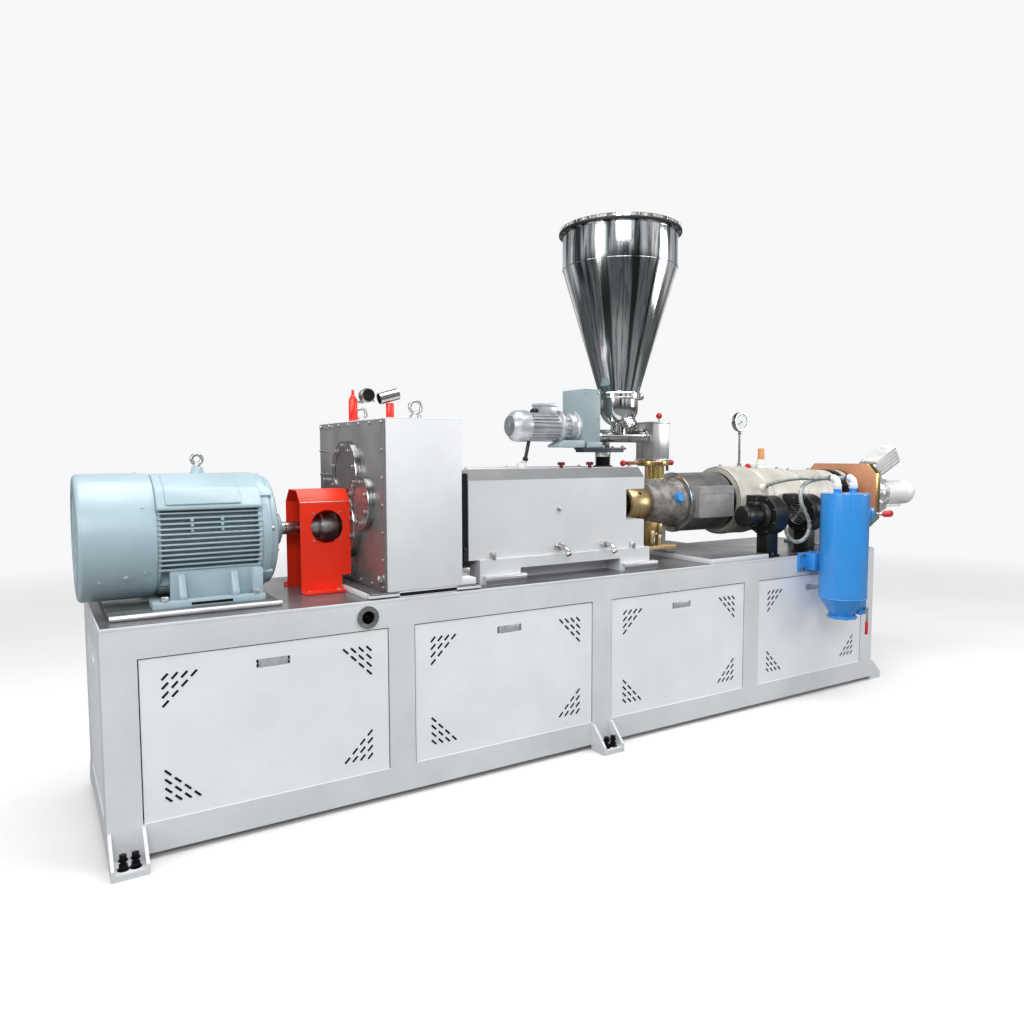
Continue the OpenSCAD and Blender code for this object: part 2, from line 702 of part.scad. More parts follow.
bar_z = deck_z + 55;
module neck_bracket() placed() color("tan") {
    // Brass plate under the neck with a cross bar along its foot
    difference() {
        block(neck_x + 12, axis_y - 108, bar_z + 6, 40, 50, barrel_z - 60 - bar_z);
        x_rod(neck_x, axis_y, barrel_z, 100, neck_r + fit);
    }
    block(neck_x - 62, axis_y - 116, bar_z, 205, 60, 13);
}

// A heater shell around the barrel core between two radii
module heater(x, l, r1, r2) translate([x, axis_y, barrel_z]) rotate([0, 90, 0]) rotate_extrude()
    polygon([[core_r + fit, 0], [r1 - 8, 0], [r1, 8], [r2, l - 8], [r2 - 8, l], [core_r + fit, l]]);

plate_d = 8;
module heater_zone_1() placed() color("darkgray") difference() {
    union() {
        heater(heater_1_x, heater_1_l, heater_1_r, heater_1_r);
        block(heater_1_x + 18, axis_y - heater_1_r - plate_d, barrel_z - 78, heater_1_l - 36, 90, 156);
    }
    x_rod(heater_1_x - 1, axis_y, barrel_z, heater_1_l + 2, core_r + fit);
}

vent_x = heater_3_x + heater_3_l * 0.45;
module rear_heaters() placed() color("ivory") difference() {
    union() {
        heater(heater_2_x, heater_2_l, heater_2_r, heater_2_r);
        heater(heater_3_x, heater_3_l, heater_2_r - 6, heater_3_r);
        heater(heater_4_x, heater_4_l, heater_4_r + 2, heater_4_r);
    }
    z_rod(vent_x, axis_y, barrel_z, heater_2_r + 10, vent_r + 2);
}

// Two saddles that carry the barrel on the deck
saddle_w = 220;
module barrel_stands() placed() color("ivory") {
    difference() {
        block(barrel_flange_x + 2, axis_y - saddle_w / 2, deck_z + barrel_seat_h, 30, saddle_w, barrel_h - barrel_seat_h - 60);
        x_rod(barrel_flange_x, axis_y, barrel_z, 40, barrel_flange_r + fit);
    }
    difference() {
        block(frame_l - 170, axis_y - saddle_w / 2, deck_z, 80, saddle_w, barrel_h - 60);
        x_rod(frame_l - 180, axis_y, barrel_z, 100, heater_4_r + 2 + fit);
    }
}

// Two handed cooling blowers with their outlets against the heaters, the first with its motor on the left
blower_y = axis_y - heater_2_r - scroll_r - 2;
module blower(x, heater_face, side) {
    nozzle_h = 60;
    x_rod(x, blower_y, blower_z, scroll_w, scroll_r);
    translate([x + scroll_w / 2, 0, 0]) mirror([side, 0, 0]) {
        x_rod(-scroll_w / 2 - blower_motor_l, blower_y, blower_z, blower_motor_l + eps, blower_motor_r);
        x_rod(-scroll_w / 2 - 14, blower_y, blower_z, 14 + eps, scroll_r * 0.66);
        // Guarded inlet on the other side
        x_rod(scroll_w / 2 - eps, blower_y, blower_z, 9, scroll_r * 0.64);
    }
    block(x, blower_y, blower_z + scroll_r - nozzle_h, scroll_w, axis_y - heater_face - fit - blower_y, nozzle_h);
    block(x + 8, blower_y - 36, deck_z, scroll_w - 16, 72, blower_z - deck_z - scroll_r * 0.8);
}
module cooling_blowers() placed() color("dimgray")
    for (i = [0, 1]) blower(blower_x + i * blower_pitch, i == 0 ? heater_2_r : heater_2_r - 6, i);

vent_h = 214;
side_port_x = heater_2_x + heater_2_l - 24;
side_port_tilt = 22;
side_port_l = 22;
module vent_port() placed() color("ivory") {
    z_rod(vent_x, axis_y, barrel_z + core_r + fit, vent_h - core_r - fit, vent_r);
    z_rod(vent_x, axis_y, barrel_z + vent_h - eps, 62, vent_r * 0.68);
    // Boss on the second zone's clad face that the vent hose leaves from
    difference() {
        translate([side_port_x, axis_y, barrel_z]) rotate([90 - side_port_tilt, 0, 0]) {
            cylinder(h = heater_2_r + side_port_l, r = 13);
            cylinder(h = heater_2_r + 9, r = 20);
        }
        x_rod(side_port_x - 40, axis_y, barrel_z, 80, heater_2_r + fit);
    }
}

gauge_x = heater_2_x + heater_2_l - 22;
gauge_seat = barrel_z + heater_2_r;
module pressure_gauge() placed() color("gray") {
    z_rod(gauge_x, axis_y, gauge_seat + fit, barrel_z + gauge_rise - gauge_seat - gauge_r / 2, 7);
    y_rod(gauge_x, axis_y - 15, barrel_z + gauge_rise, 30, gauge_r);
}

// Feed throat and feeder
throat_flange_t = 27;
flute_n = 18;
module feed_throat() placed() color("khaki") {
    body_h = throat_top - throat_flange_t - throat_pad_z;
    translate([throat_x, axis_y, throat_pad_z]) linear_extrude(body_h) difference() {
        circle(r = throat_r);
        for (i = [0 : flute_n - 1]) rotate(i * 360 / flute_n) translate([throat_r + 3, 0]) circle(r = 6, $fn = 24);
    }
    z_rod(throat_x, axis_y, throat_top - throat_flange_t, throat_flange_t, throat_flange_r);
    // Swing clamp arms with ball knobs
    for (s = [-1, 1]) {
        block(throat_x + s * (throat_flange_r + 22) - 34, axis_y - 12, throat_top - 22, 68, 24, 16);
        translate([throat_x + s * (throat_flange_r + 62), axis_y, throat_top - 14]) sphere(r = 14, $fn = 48);
    }
}

duct_d = 126;
module feed_duct() placed() color("silver") {
    block(throat_x - duct_w / 2, axis_y - duct_d / 2, throat_top, duct_w, duct_d, deck_z + duct_h - throat_top);
    z_rod(throat_x, axis_y - duct_d / 2 + 18, deck_z + duct_h - eps, 22, 5);
    translate([throat_x, axis_y - duct_d / 2 + 18, deck_z + duct_h + 30]) sphere(r = 14, $fn = 48);
}

// Bowl under the hopper, welded to the feed screw's tube
bowl_r = outlet_r - 4;
clamp_band_h = 34;
chain_case_end = hopper_x - 155;
module feed_bowl() placed() color("silver") {
    neck_h = outlet_z - clamp_band_h - feed_z - bowl_rise;
    translate([hopper_x, axis_y, feed_z + bowl_rise]) rotate_extrude() {
        intersection() {
            circle(r = bowl_r);
            translate([0, -bowl_r]) square([bowl_r, bowl_r]);
        }
        square([bowl_r, neck_h]);
        translate([0, neck_h]) square([outlet_r + 8, clamp_band_h]);
    }
    x_rod(chain_case_end, axis_y, feed_z, throat_x - duct_w / 2 - chain_case_end, feed_tube_r);
    x_rod(chain_case_end, axis_y, feed_z, 22, feed_tube_r + 16);
    // Ribbed clean-out cap
    translate([hopper_x, axis_y, feed_z + bowl_rise]) rotate([0, 0, -62]) rotate([0, 112, 0]) {
        cylinder(h = bowl_r + 44, r = 30);
        for (i = [0 : 2]) translate([0, 0, bowl_r + 4 + i * 14]) cylinder(h = 8, r = 34);
    }
}

// Hopper shell of revolution, open at both ends
module hopper_shell() placed() color("lightgray")
    translate([hopper_x, axis_y, outlet_z]) rotate_extrude() polygon([
        [outlet_r, 0], [hopper_r, hopper_cone_h], [hopper_r, hopper_cone_h + hopper_cyl_h - 5],
        [hopper_r + rim_w, hopper_cone_h + hopper_cyl_h - 5], [hopper_r + rim_w, hopper_cone_h + hopper_cyl_h],
        [hopper_r - hopper_t, hopper_cone_h + hopper_cyl_h], [hopper_r - hopper_t, hopper_cone_h],
        [outlet_r - hopper_t, 0]
    ]);

gasket_t = 7;
lid_t = 6;
module hopper_lid() placed() color("lightgray") {
    z_rod(hopper_x, axis_y, hopper_top, gasket_t + eps, hopper_r + rim_w - 3);
    z_rod(hopper_x, axis_y, hopper_top + gasket_t, lid_t, hopper_r + rim_w);
}

stand_x = box_end - 331;
stand_l = 382;
stand_top = feed_z - 55;
post_y = axis_y - 28;
module feeder_stand() placed() color("dimgray") {
    post_r = 38;
    block(stand_x, axis_y - 76, stand_top - 10, stand_l, 196, 10);
    z_rod(box_end - 52, post_y, box_top + 36, stand_top - 10 - box_top - 36 + eps, post_r);
    for (i = [0 : 3]) z_rod(box_end - 52, post_y, box_top + 9 * i, 5, post_r - 4);
    z_rod(box_end - 52, post_y, box_top, 36 + eps, post_r - 8);
    // Saddle under the feed screw's tube
    difference() {
        block(chain_case_end + 38, axis_y - 30, stand_top, 40, 60, 45);
        x_rod(chain_case_end, axis_y, feed_z, 100, feed_tube_r + fit);
    }
}

// Chain case between the feeder's reducer and its screw
case_y = axis_y - 58;
case_w = 165;
case_top = outlet_z - 8;
reducer_z = feed_z + 40;
case_x = chain_case_end - chain_case_l;
module chain_case() placed() color("slategray") {
    block(case_x, case_y, stand_top, chain_case_l, case_w, case_top - stand_top);
    block(case_x + 16, case_y - 16, stand_top, chain_case_l - 16, 16 + eps, 26);
}

feeder_y = axis_y + 22;
reducer_l = 105;
feeder_motor_x = case_x - reducer_l - feeder_motor_l;
module small_fin_section() {
    core = feeder_motor_r - 12;
    circle(r = core);
    intersection() {
        circle(r = feeder_motor_r - 2);
        for (i = [-3 : 3]) {
            translate([0, i * 13]) square([2 * feeder_motor_r, 4], center = true);
            translate([i * 13, 0]) square([4, 2 * feeder_motor_r], center = true);
        }
    }
}
module feeder_motor() placed() color("silver") {
    feeder_cowl_l = 84;
    translate([feeder_motor_x, feeder_y, reducer_z]) rotate([0, 90, 0]) rotate_extrude()
        polygon([[0, 0], [feeder_motor_r - 26, 0], [feeder_motor_r - 4, 22], [feeder_motor_r, 34],
                 [feeder_motor_r, feeder_cowl_l], [0, feeder_cowl_l]]);
    along_x(feeder_motor_x + feeder_cowl_l - eps, feeder_motor_l - feeder_cowl_l + 2 * eps)
        translate([feeder_y, reducer_z]) small_fin_section();
    // Worm reducer with its two flanges
    x_rod(feeder_motor_x + feeder_motor_l, feeder_y, reducer_z, 12, feeder_motor_r + 4);
    x_rod(feeder_motor_x + feeder_motor_l + 12 - eps, feeder_y, reducer_z, reducer_l - 24 + 2 * eps, feeder_motor_r - 22);
    x_rod(case_x - 12, feeder_y, reducer_z, 12, feeder_motor_r + 6);
    // Terminal box
    block(feeder_motor_x + 120, feeder_y - 34, reducer_z + feeder_motor_r - 20, 88, 66, 52);
}

module motor_strut() placed() color("dimgray") {
    strut_x = feeder_motor_x + 54;
    strut_h = reducer_z - feeder_motor_r - fit - box_top;
    z_rod(strut_x, feeder_y, box_top, 24, 22);
    z_rod(strut_x, feeder_y, box_top + 24 - eps, strut_h - 24 - 8, 8);
    difference() {
        block(strut_x - 14, feeder_y - 18, box_top + strut_h - 10, 28, 36, 16);
        x_rod(strut_x - 20, feeder_y, reducer_z, 40, feeder_motor_r + fit);
    }
}

// Vacuum pot
pot_top_z = deck_z + pot_top;
pot_z = pot_top_z - pot_l;
stub_r = 17;
stub_h = 46;
stub_dx = 64;
elbow_r = 26;
side_z = deck_z + 205;
side_end = pot_x + pot_r + 100;
drain_z = pot_z - 52;
drain_x = pot_x + 68;
drain_face = pot_axis_y - 84;
module vacuum_pot() placed() color("dodgerblue") {
    translate([pot_x, pot_axis_y, 0]) rotate_extrude() polygon([
        [0, pot_z - pot_cone_h - 12], [pot_flange_r, pot_z - pot_cone_h - 12], [pot_flange_r, pot_z - pot_cone_h],
        [pot_flange_r - 12, pot_z - pot_cone_h], [pot_r, pot_z], [pot_r, pot_top_z - 6], [pot_r - 6, pot_top_z],
        [0, pot_top_z]
    ]);
    // Hose stubs with elbows that turn to the barrel
    for (s = [-1, 1]) {
        z_rod(pot_x + s * stub_dx, pot_axis_y, pot_top_z - eps, stub_h, stub_r);
        translate([pot_x + s * stub_dx, pot_axis_y + elbow_r, pot_top_z + stub_h - eps]) rotate([90, 0, -90])
            rotate_extrude(angle = 90, $fn = 64) translate([elbow_r, 0]) circle(r = stub_r - 2, $fn = 40);
    }
    // Side outlet with its valve
    block(pot_x, pot_axis_y - 34, side_z - 34, pot_r + 70, 68, 68);
    x_rod(pot_x + pot_r + 70 - eps, pot_axis_y, side_z, 30, 14);
    y_rod(side_end - 12, pot_axis_y - 26, side_z, 26, 7);
    // Drain valve on the cone
    block(drain_x - 16, drain_face + 10, drain_z - 18, 32, 50, 36);
    y_rod(drain_x, drain_face, drain_z, 30, 7);
}

module pot_bracket() placed() color("dodgerblue") difference() {
    union() {
        block(pot_x - 152, -14, deck_z - 50, 300, 14, 75);
        block(pot_x - 90, -90, deck_z - 46, 180, 80, 68);
    }
    z_rod(pot_x, pot_axis_y, deck_z - 60, 100, pot_r + fit);
}

// A valve lever that turns about a stem along Y; it points along the given direction at rest
lever_t = 5;
module lever() {
    translate([0, -lever_t - 6, 0]) rotate([-90, 0, 0]) cylinder(h = lever_t + 6, r = 11);
    translate([-9, -lever_t - 6, -lever_l]) cube([18, lever_t, lever_l]);
}
module drain_lever() placed() color("crimson")
    translate([drain_x, drain_face - fit, drain_z]) lever();
module side_lever() placed() color("crimson")
    translate([side_end - 12, pot_axis_y - 26 - fit, side_z]) rotate([0, -90, 0]) lever();

// Vacuum hoses, swept along smooth curves through points chosen by hand
hose_sides = 10;
function curve_point(a, b, c, d, t) = 0.5 * (2 * b + (c - a) * t + (2 * a - 5 * b + 4 * c - d) * t * t
    + (3 * b - a - 3 * c + d) * t * t * t);
function curve(p, steps) = [
    for (i = [0 : len(p) - 2], s = [0 : steps - 1])
        curve_point(p[max(i - 1, 0)], p[i], p[i + 1], p[min(i + 2, len(p) - 1)], s / steps),
    p[len(p) - 1]
];
function unit(v) = v / norm(v);
function heading(c, i) = unit(c[min(i + 1, len(c) - 1)] - c[max(i - 1, 0)]);
// Each ring's first spoke is the one before it, turned square to the new heading
function spokes(c, i = 0, last = [0, 1, 0.05]) = i == len(c) ? [] :
    let (h = heading(c, i), s = unit(last - (last * h) * h)) concat([s], spokes(c, i + 1, s));
module hose(p, r) {
    c = curve(p, 3);
    s = spokes(c);
    n = len(c);
    rings = [for (i = [0 : n - 1]) let (h = heading(c, i), u = s[i], v = cross(h, u))
        for (k = [0 : hose_sides - 1]) c[i] + r * (cos(k * 360 / hose_sides) * u + sin(k * 360 / hose_sides) * v)];
    walls = [for (i = [0 : n - 2], k = [0 : hose_sides - 1]) let (a = i * hose_sides, b = (k + 1) % hose_sides)
        [a + k, a + b, a + hose_sides + b, a + hose_sides + k]];
    caps = [[for (k = [hose_sides - 1 : -1 : 0]) k], [for (k = [0 : hose_sides - 1]) (n - 1) * hose_sides + k]];
    polyhedron(points = rings, faces = [for (f = concat(walls, caps)) [for (k = [len(f) - 1 : -1 : 0]) f[k]]]);
}

elbow_y = pot_axis_y + elbow_r;
elbow_z = pot_top_z + stub_h + elbow_r;
left_elbow = [pot_x - stub_dx, elbow_y, elbow_z];
right_elbow = [pot_x + stub_dx, elbow_y, elbow_z];
hose_gap = 0.6;
port_reach = heater_2_r + side_port_l + hose_gap;
port_out = [0, -cos(side_port_tilt), sin(side_port_tilt)];
vent_end = [side_port_x, axis_y, barrel_z] + port_reach * port_out;
module vent_hose() placed() color("darkgray") hose([
    left_elbow + [0, hose_gap, 0], left_elbow + [0, 40, 0], left_elbow + [-12, 90, 0], left_elbow + [-40, 144, -1],
    vent_end + [52, -108, 39], vent_end + [14, -56, 24], vent_end + 24 * port_out, vent_end
], hose_d / 2);

// Elbow pipe on the deck that takes the other hose
pump_port = [pot_x - 208, 84, deck_z + 200];
module hose_socket() placed() color("ivory") {
    z_rod(pump_port.x, pump_port.y + elbow_r, deck_z, 8, 26);
    z_rod(pump_port.x, pump_port.y + elbow_r, deck_z + 8 - eps, pump_port.z - elbow_r - deck_z - 8 + 2 * eps, 13);
    translate([pump_port.x, pump_port.y, pump_port.z - elbow_r]) rotate([90, 0, 90])
        rotate_extrude(angle = 90, $fn = 64) translate([elbow_r, 0]) circle(r = 13, $fn = 40);
}

module pump_hose() placed() color("darkgray") hose([
    right_elbow + [0, hose_gap, 0], right_elbow + [0, 40, 0], right_elbow + [-20, 94, -1], right_elbow + [-58, 132, -7],
    right_elbow + [-108, 150, -19], right_elbow + [-158, 148, -39], right_elbow + [-195, 135, -73],
    right_elbow + [-209, 120, -118], pump_port + [76, -102, 30], pump_port + [107, -103, -10],
    pump_port + [124, -100, -58], pump_port + [109, -96, -102], pump_port + [74, -88, -128],
    pump_port + [33, -78, -127], pump_port + [0, -72, -102], pump_port + [-14, -66, -62],
    pump_port + [-14, -63, -38], pump_port + [-8, -51, -12], pump_port - [0, 24, 0], pump_port - [0, hose_gap, 0]
], hose_d / 2);

// Die head
module head_plate() placed() color("chocolate")
    along_x(head_x, head_plate_t) translate([axis_y, barrel_z]) polygon([
        [-head_plate_w / 2, -head_plate_h + 58], [-head_plate_w / 2, head_plate_h - 58],
        [-head_plate_w / 2 + 58, head_plate_h], [head_plate_w / 2 - 58, head_plate_h],
        [head_plate_w / 2, head_plate_h - 58], [head_plate_w / 2, -head_plate_h + 58],
        [head_plate_w / 2 - 58, -head_plate_h], [-head_plate_w / 2 + 58, -head_plate_h]
    ]);

module cutter_hood() placed() color("lightgray") {
    x_rod(hood_x, axis_y, barrel_z, hood_l, hood_r);
    // Square outlet that rises to the right over the cutter motor's flange
    translate([hood_x + hood_l - 135, axis_y, barrel_z + hood_r - 64]) rotate([0, 65, 0])
        translate([-50, -60, 0]) cube([100, 120, 350]);
}

module cutter_motor() placed() color("white")
    translate([cutter_x, axis_y, barrel_z]) rotate([0, 90, 0]) rotate_extrude() polygon([
        [0, 0], [cutter_r + 12, 0], [cutter_r + 12, 14], [cutter_r, 14], [cutter_r, cutter_l - 90],
        [cutter_r - 3, cutter_l - 90], [cutter_r - 3, cutter_l - 86], [cutter_r, cutter_l - 86],
        [cutter_r, cutter_l - 20], [cutter_r - 20, cutter_l], [0, cutter_l]
    ]);

bottom_rails();
top_rails();
cross_rails();
frame_posts();
deck();
machined_seats();
lifting_tube();
foot_brackets();
front_panels();
rear_panels();
end_panels();
motor_base();
motor_body();
fan_cowl();
motor_end_bell();
drive_shaft();
shaft_coupling();
coupling_guard();
gearbox_housing();
gearbox_end_plate();
bearing_covers();
gearbox_fittings();
connecting_flange();
pedestal();
distribution_box();
drain_pipes();
screw_shafts();
coupling_ring();
barrel();
neck_bracket();
heater_zone_1();
rear_heaters();
barrel_stands();
cooling_blowers();
vent_port();
pressure_gauge();
feed_throat();
feed_duct();
feed_bowl();
hopper_shell();
hopper_lid();
feeder_stand();
chain_case();
feeder_motor();
motor_strut();
vacuum_pot();
pot_bracket();
drain_lever();
side_lever();
hose_socket();
vent_hose();
pump_hose();
head_plate();
cutter_hood();
cutter_motor();
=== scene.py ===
from math import cos, pi, radians, sin, sqrt

import bmesh
import bpy
from mathutils import Matrix, Vector, noise


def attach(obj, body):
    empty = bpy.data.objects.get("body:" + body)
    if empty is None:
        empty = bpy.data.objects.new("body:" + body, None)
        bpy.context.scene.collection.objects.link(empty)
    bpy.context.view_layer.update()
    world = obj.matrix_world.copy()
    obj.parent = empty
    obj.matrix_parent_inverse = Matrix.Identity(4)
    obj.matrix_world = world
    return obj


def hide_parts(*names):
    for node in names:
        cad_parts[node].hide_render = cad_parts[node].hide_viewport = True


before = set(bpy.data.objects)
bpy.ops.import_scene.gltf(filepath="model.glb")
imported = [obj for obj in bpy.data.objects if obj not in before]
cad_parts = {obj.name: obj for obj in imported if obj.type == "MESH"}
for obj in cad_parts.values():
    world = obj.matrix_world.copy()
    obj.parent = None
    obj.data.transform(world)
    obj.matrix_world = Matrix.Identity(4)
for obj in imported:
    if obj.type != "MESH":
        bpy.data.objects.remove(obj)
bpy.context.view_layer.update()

# Camera
# It stands in front of the motor end at chest height and looks along the machine.
# The direction and the lens were solved from the straight edges of the base frame.
yaw, pitch, roll = radians(31.7401), radians(-4.23957), radians(-0.131478)
ahead = Vector((sin(yaw) * cos(pitch), cos(yaw) * cos(pitch), sin(pitch)))
level = Vector((cos(yaw), -sin(yaw), 0))
upright = level.cross(ahead)
right = cos(roll) * level + sin(roll) * upright
top = cos(roll) * upright - sin(roll) * level
camera = bpy.data.objects.new("camera", bpy.data.cameras.new("camera"))
camera.data.sensor_width = 36
camera.data.lens = 27.492
camera.data.clip_end = 400
camera.matrix_world = Matrix.Translation((-2.45882, -2.84606, 1.25566)) @ Matrix((right, top, -ahead)).transposed().to_4x4()
bpy.context.collection.objects.link(camera)
bpy.context.scene.camera = camera
bpy.context.scene.view_settings.view_transform = "Standard"


# Studio
# A pale floor without walls, an overhead softbox and three side softboxes, all plain white.
# Bright metal also sees tall window-like bands in the surroundings, as it would in a workshop.
def tone(r, g, b):
    """A colour as the eye reads it, turned into the shader's linear values"""
    return tuple(c ** 2.2 for c in (r, g, b)) + (1,)


def softbox(name, place, aim, wide, tall, power):
    lamp = bpy.data.lights.new(name, "AREA")
    lamp.shape, lamp.size, lamp.size_y, lamp.energy = "RECTANGLE", wide, tall, power
    box = bpy.data.objects.new(name, lamp)
    box.matrix_world = Matrix.Translation(place) @ (Vector(aim) - Vector(place)).to_track_quat("-Z", "Y").to_matrix().to_4x4()
    bpy.context.collection.objects.link(box)


def node(tree, kind, wires=None, values=None, **settings):
    """A shader node with its wired inputs, its plain input values and its settings"""
    made = tree.nodes.new("ShaderNode" + kind)
    for name, value in settings.items():
        setattr(made, name, value)
    for socket, value in (values or {}).items():
        made.inputs[socket].default_value = value
    for socket, source in (wires or {}).items():
        tree.links.new(source, made.inputs[socket])
    return made


def stops(ramp, first, last, *others):
    """Sets the stops of a colour ramp, each a position and a colour"""
    for stop, (where, colour) in zip(ramp.elements, (first, last)):
        stop.position, stop.color = where, tone(*colour)
    for where, colour in others:
        ramp.elements.new(where).color = tone(*colour)


softbox("overhead_softbox", (-0.4, -0.6, 5.2), (0, 0, 0.8), 6.5, 3.2, 300)
softbox("front_softbox", (-3.8, -5.6, 4.2), (-0.4, 0, 0.9), 3.2, 2.6, 170)
softbox("left_softbox", (-7.2, -1.8, 3.0), (-1.8, 0, 1.2), 2.6, 2.2, 135)
softbox("end_softbox", (5.6, -4.2, 2.6), (1.6, 0, 1.0), 2.4, 2.4, 110)

backdrop = (0.965, 0.97, 0.975)
world = bpy.context.scene.world or bpy.data.worlds.new("world")
bpy.context.scene.world = world
world.use_nodes = True
sky = world.node_tree
sky.nodes.clear()
split = node(sky, "SeparateXYZ", {"Vector": node(sky, "TexCoord").outputs["Generated"]})
turn = node(sky, "Math", {0: split.outputs["Y"], 1: split.outputs["X"]}, operation="ARCTAN2")
spread = node(sky, "CombineXYZ", {"X": turn.outputs["Value"]})
bands = node(sky, "TexNoise", {"Vector": spread.outputs["Vector"]}, {"Scale": 2.6, "Detail": 2.5})
windows = node(sky, "ValToRGB", {"Fac": bands.outputs["Fac"]})
stops(windows.color_ramp, (0.42, (0.20, 0.21, 0.22)), (0.56, (0.98, 0.98, 0.98)))
lift = node(sky, "MapRange", {"Value": split.outputs["Z"]}, {"From Min": -1})
height = node(sky, "ValToRGB", {"Fac": lift.outputs["Result"]})
stops(height.color_ramp, (0.49, (0.42, 0.42, 0.42)), (0.53, (1, 1, 1)), (0.70, (0.95, 0.95, 0.95)), (0.84, (0.42, 0.42, 0.42)))
surroundings = node(sky, "Mix", data_type="RGBA", blend_type="MULTIPLY")
surroundings.inputs["Factor"].default_value = 1
sky.links.new(windows.outputs["Color"], surroundings.inputs[6])
sky.links.new(height.outputs["Color"], surroundings.inputs[7])
fill = node(sky, "Background", values={"Color": tone(*backdrop), "Strength": 0.56})
reflected = node(sky, "Background", {"Color": surroundings.outputs[2]})
shown = node(sky, "Background", values={"Color": tone(*backdrop)})
seen = node(sky, "LightPath")
mirrored = node(sky, "Math", {0: seen.outputs["Is Glossy Ray"], 1: seen.outputs["Is Transmission Ray"]}, operation="MAXIMUM")
unseen = node(sky, "MixShader", {0: mirrored.outputs["Value"], 1: fill.outputs["Background"], 2: reflected.outputs["Background"]})
sky_shader = node(sky, "MixShader", {0: seen.outputs["Is Camera Ray"], 1: unseen.outputs["Shader"],
                                     2: shown.outputs["Background"]})
node(sky, "OutputWorld", {"Surface": sky_shader.outputs["Shader"]})


# Vacuum hoses
# Two limp clear-grey hoses with a wound wire inside, pushed on the white elbows of the vacuum pot and on their ports.
# One runs to the boss on the second heater zone, the other hangs in a loop and ends at the elbow pipe on the deck.
def at(x, y, up):
    """A point by millimetres from the frame's left end, from its front face and up from its deck"""
    return Vector(((x - 2300) / 1000, (y - 261) / 1000, (up + 740) / 1000))


def surface(name, colour, rough=0.45, metallic=0.0, patches=0.06, size=5.0, stretch=(1, 1, 1), grain=0.0, fine=160.0, coat=0.0):
    """A finish whose colour and gloss drift over the piece, with a fine grain in relief"""
    skin = bpy.data.materials.new(name)
    skin.use_nodes = True
    tree = skin.node_tree
    lie = node(tree, "Mapping", {"Vector": node(tree, "TexCoord").outputs["Object"]}, {"Scale": stretch})
    clouds = node(tree, "TexNoise", {"Vector": lie.outputs["Vector"]}, {"Scale": size, "Detail": 6, "Roughness": 0.6})
    shades = node(tree, "ValToRGB", {"Fac": clouds.outputs["Fac"]})
    stops(shades.color_ramp, (0.35, [c * (1 - patches) for c in colour]),
          (0.65, [min(1, c * (1 + patches * 0.5)) for c in colour]))
    gloss = node(tree, "MapRange", {"Value": clouds.outputs["Fac"]},
                 {"From Min": 0.3, "From Max": 0.7, "To Min": rough * 1.2, "To Max": rough * 0.82})
    shader = tree.nodes["Principled BSDF"]
    for socket, value in {"Metallic": metallic, "Coat Weight": coat, "Coat Roughness": 0.08}.items():
        shader.inputs[socket].default_value = value
    tree.links.new(shades.outputs["Color"], shader.inputs["Base Color"])
    tree.links.new(gloss.outputs["Result"], shader.inputs["Roughness"])
    if grain:
        specks = node(tree, "TexNoise", {"Vector": lie.outputs["Vector"]}, {"Scale": fine, "Detail": 4})
        relief = node(tree, "Bump", {"Height": specks.outputs["Fac"]}, {"Strength": grain, "Distance": 0.002})
        tree.links.new(relief.outputs["Normal"], shader.inputs["Normal"])
    return skin


def between(a, b, c, d, t):
    """A point on the smooth curve from b to c"""
    return (2 * b + (c - a) * t + (2 * a - 5 * b + 4 * c - d) * t * t + (3 * b - a - 3 * c + d) * t ** 3) / 2


RIGHT, LEFT, FRONT, BACK, UP = (1, 0, 0), (-1, 0, 0), (0, -1, 0), (0, 1, 0), (0, 0, 1)


def barrel(x):
    """A point on the barrel's axis"""
    return x, 358, 270


hose_gap = 0.6
left_elbow, right_elbow = Vector((3226, -130, 391)), Vector((3354, -130, 391))
port_out = Vector((0, -cos(radians(22)), sin(radians(22))))
vent_end = Vector(barrel(3098)) + (178 + 22 + hose_gap) * port_out
pump_port = Vector((3082, 84, 200))
vent_route = [left_elbow + Vector(p) for p in ((0, hose_gap, 0), (0, 40, 0), (-12, 90, 0), (-40, 144, -1))]
vent_route += [vent_end + Vector(p) for p in ((52, -108, 39), (14, -56, 24))] + [vent_end + 24 * port_out, vent_end]
pump_route = [right_elbow + Vector(p) for p in (
    (0, hose_gap, 0), (0, 40, 0), (-20, 94, -1), (-58, 132, -7), (-108, 150, -19), (-158, 148, -39), (-195, 135, -73),
    (-209, 120, -118))]
pump_route += [pump_port + Vector(p) for p in (
    (76, -102, 30), (107, -103, -10), (124, -100, -58), (109, -96, -102), (74, -88, -128), (33, -78, -127),
    (0, -72, -102), (-14, -66, -62), (-14, -63, -38), (-8, -51, -12), (0, -24, 0), (0, -hose_gap, 0))]
hose_skin = surface("hose_pvc", (0.60, 0.61, 0.60), rough=0.22, patches=0.25, size=60, grain=0.25, fine=260, coat=0.6)
for name, route, length in (("vent_hose_tube", vent_route, 0.344), ("pump_hose_tube", pump_route, 0.841)):
    last = len(route) - 1
    path = [between(route[max(i - 1, 0)], route[i], route[i + 1], route[min(i + 2, last)], s / 6)
            for i in range(last) for s in range(6)] + [route[last]]
    line = bpy.data.curves.new(name, "CURVE")
    line.dimensions, line.bevel_depth, line.bevel_resolution, line.use_fill_caps = "3D", 0.01, 5, True
    run = line.splines.new("POLY")
    run.points.add(len(path) - 1)
    for dot, p in zip(run.points, path):
        dot.co = (*at(*p), 1)
    line.materials.append(hose_skin)
    hose = bpy.data.objects.new(name, line)
    bpy.context.collection.objects.link(hose)
    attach(hose, "machine")
    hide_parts(name[:-5])


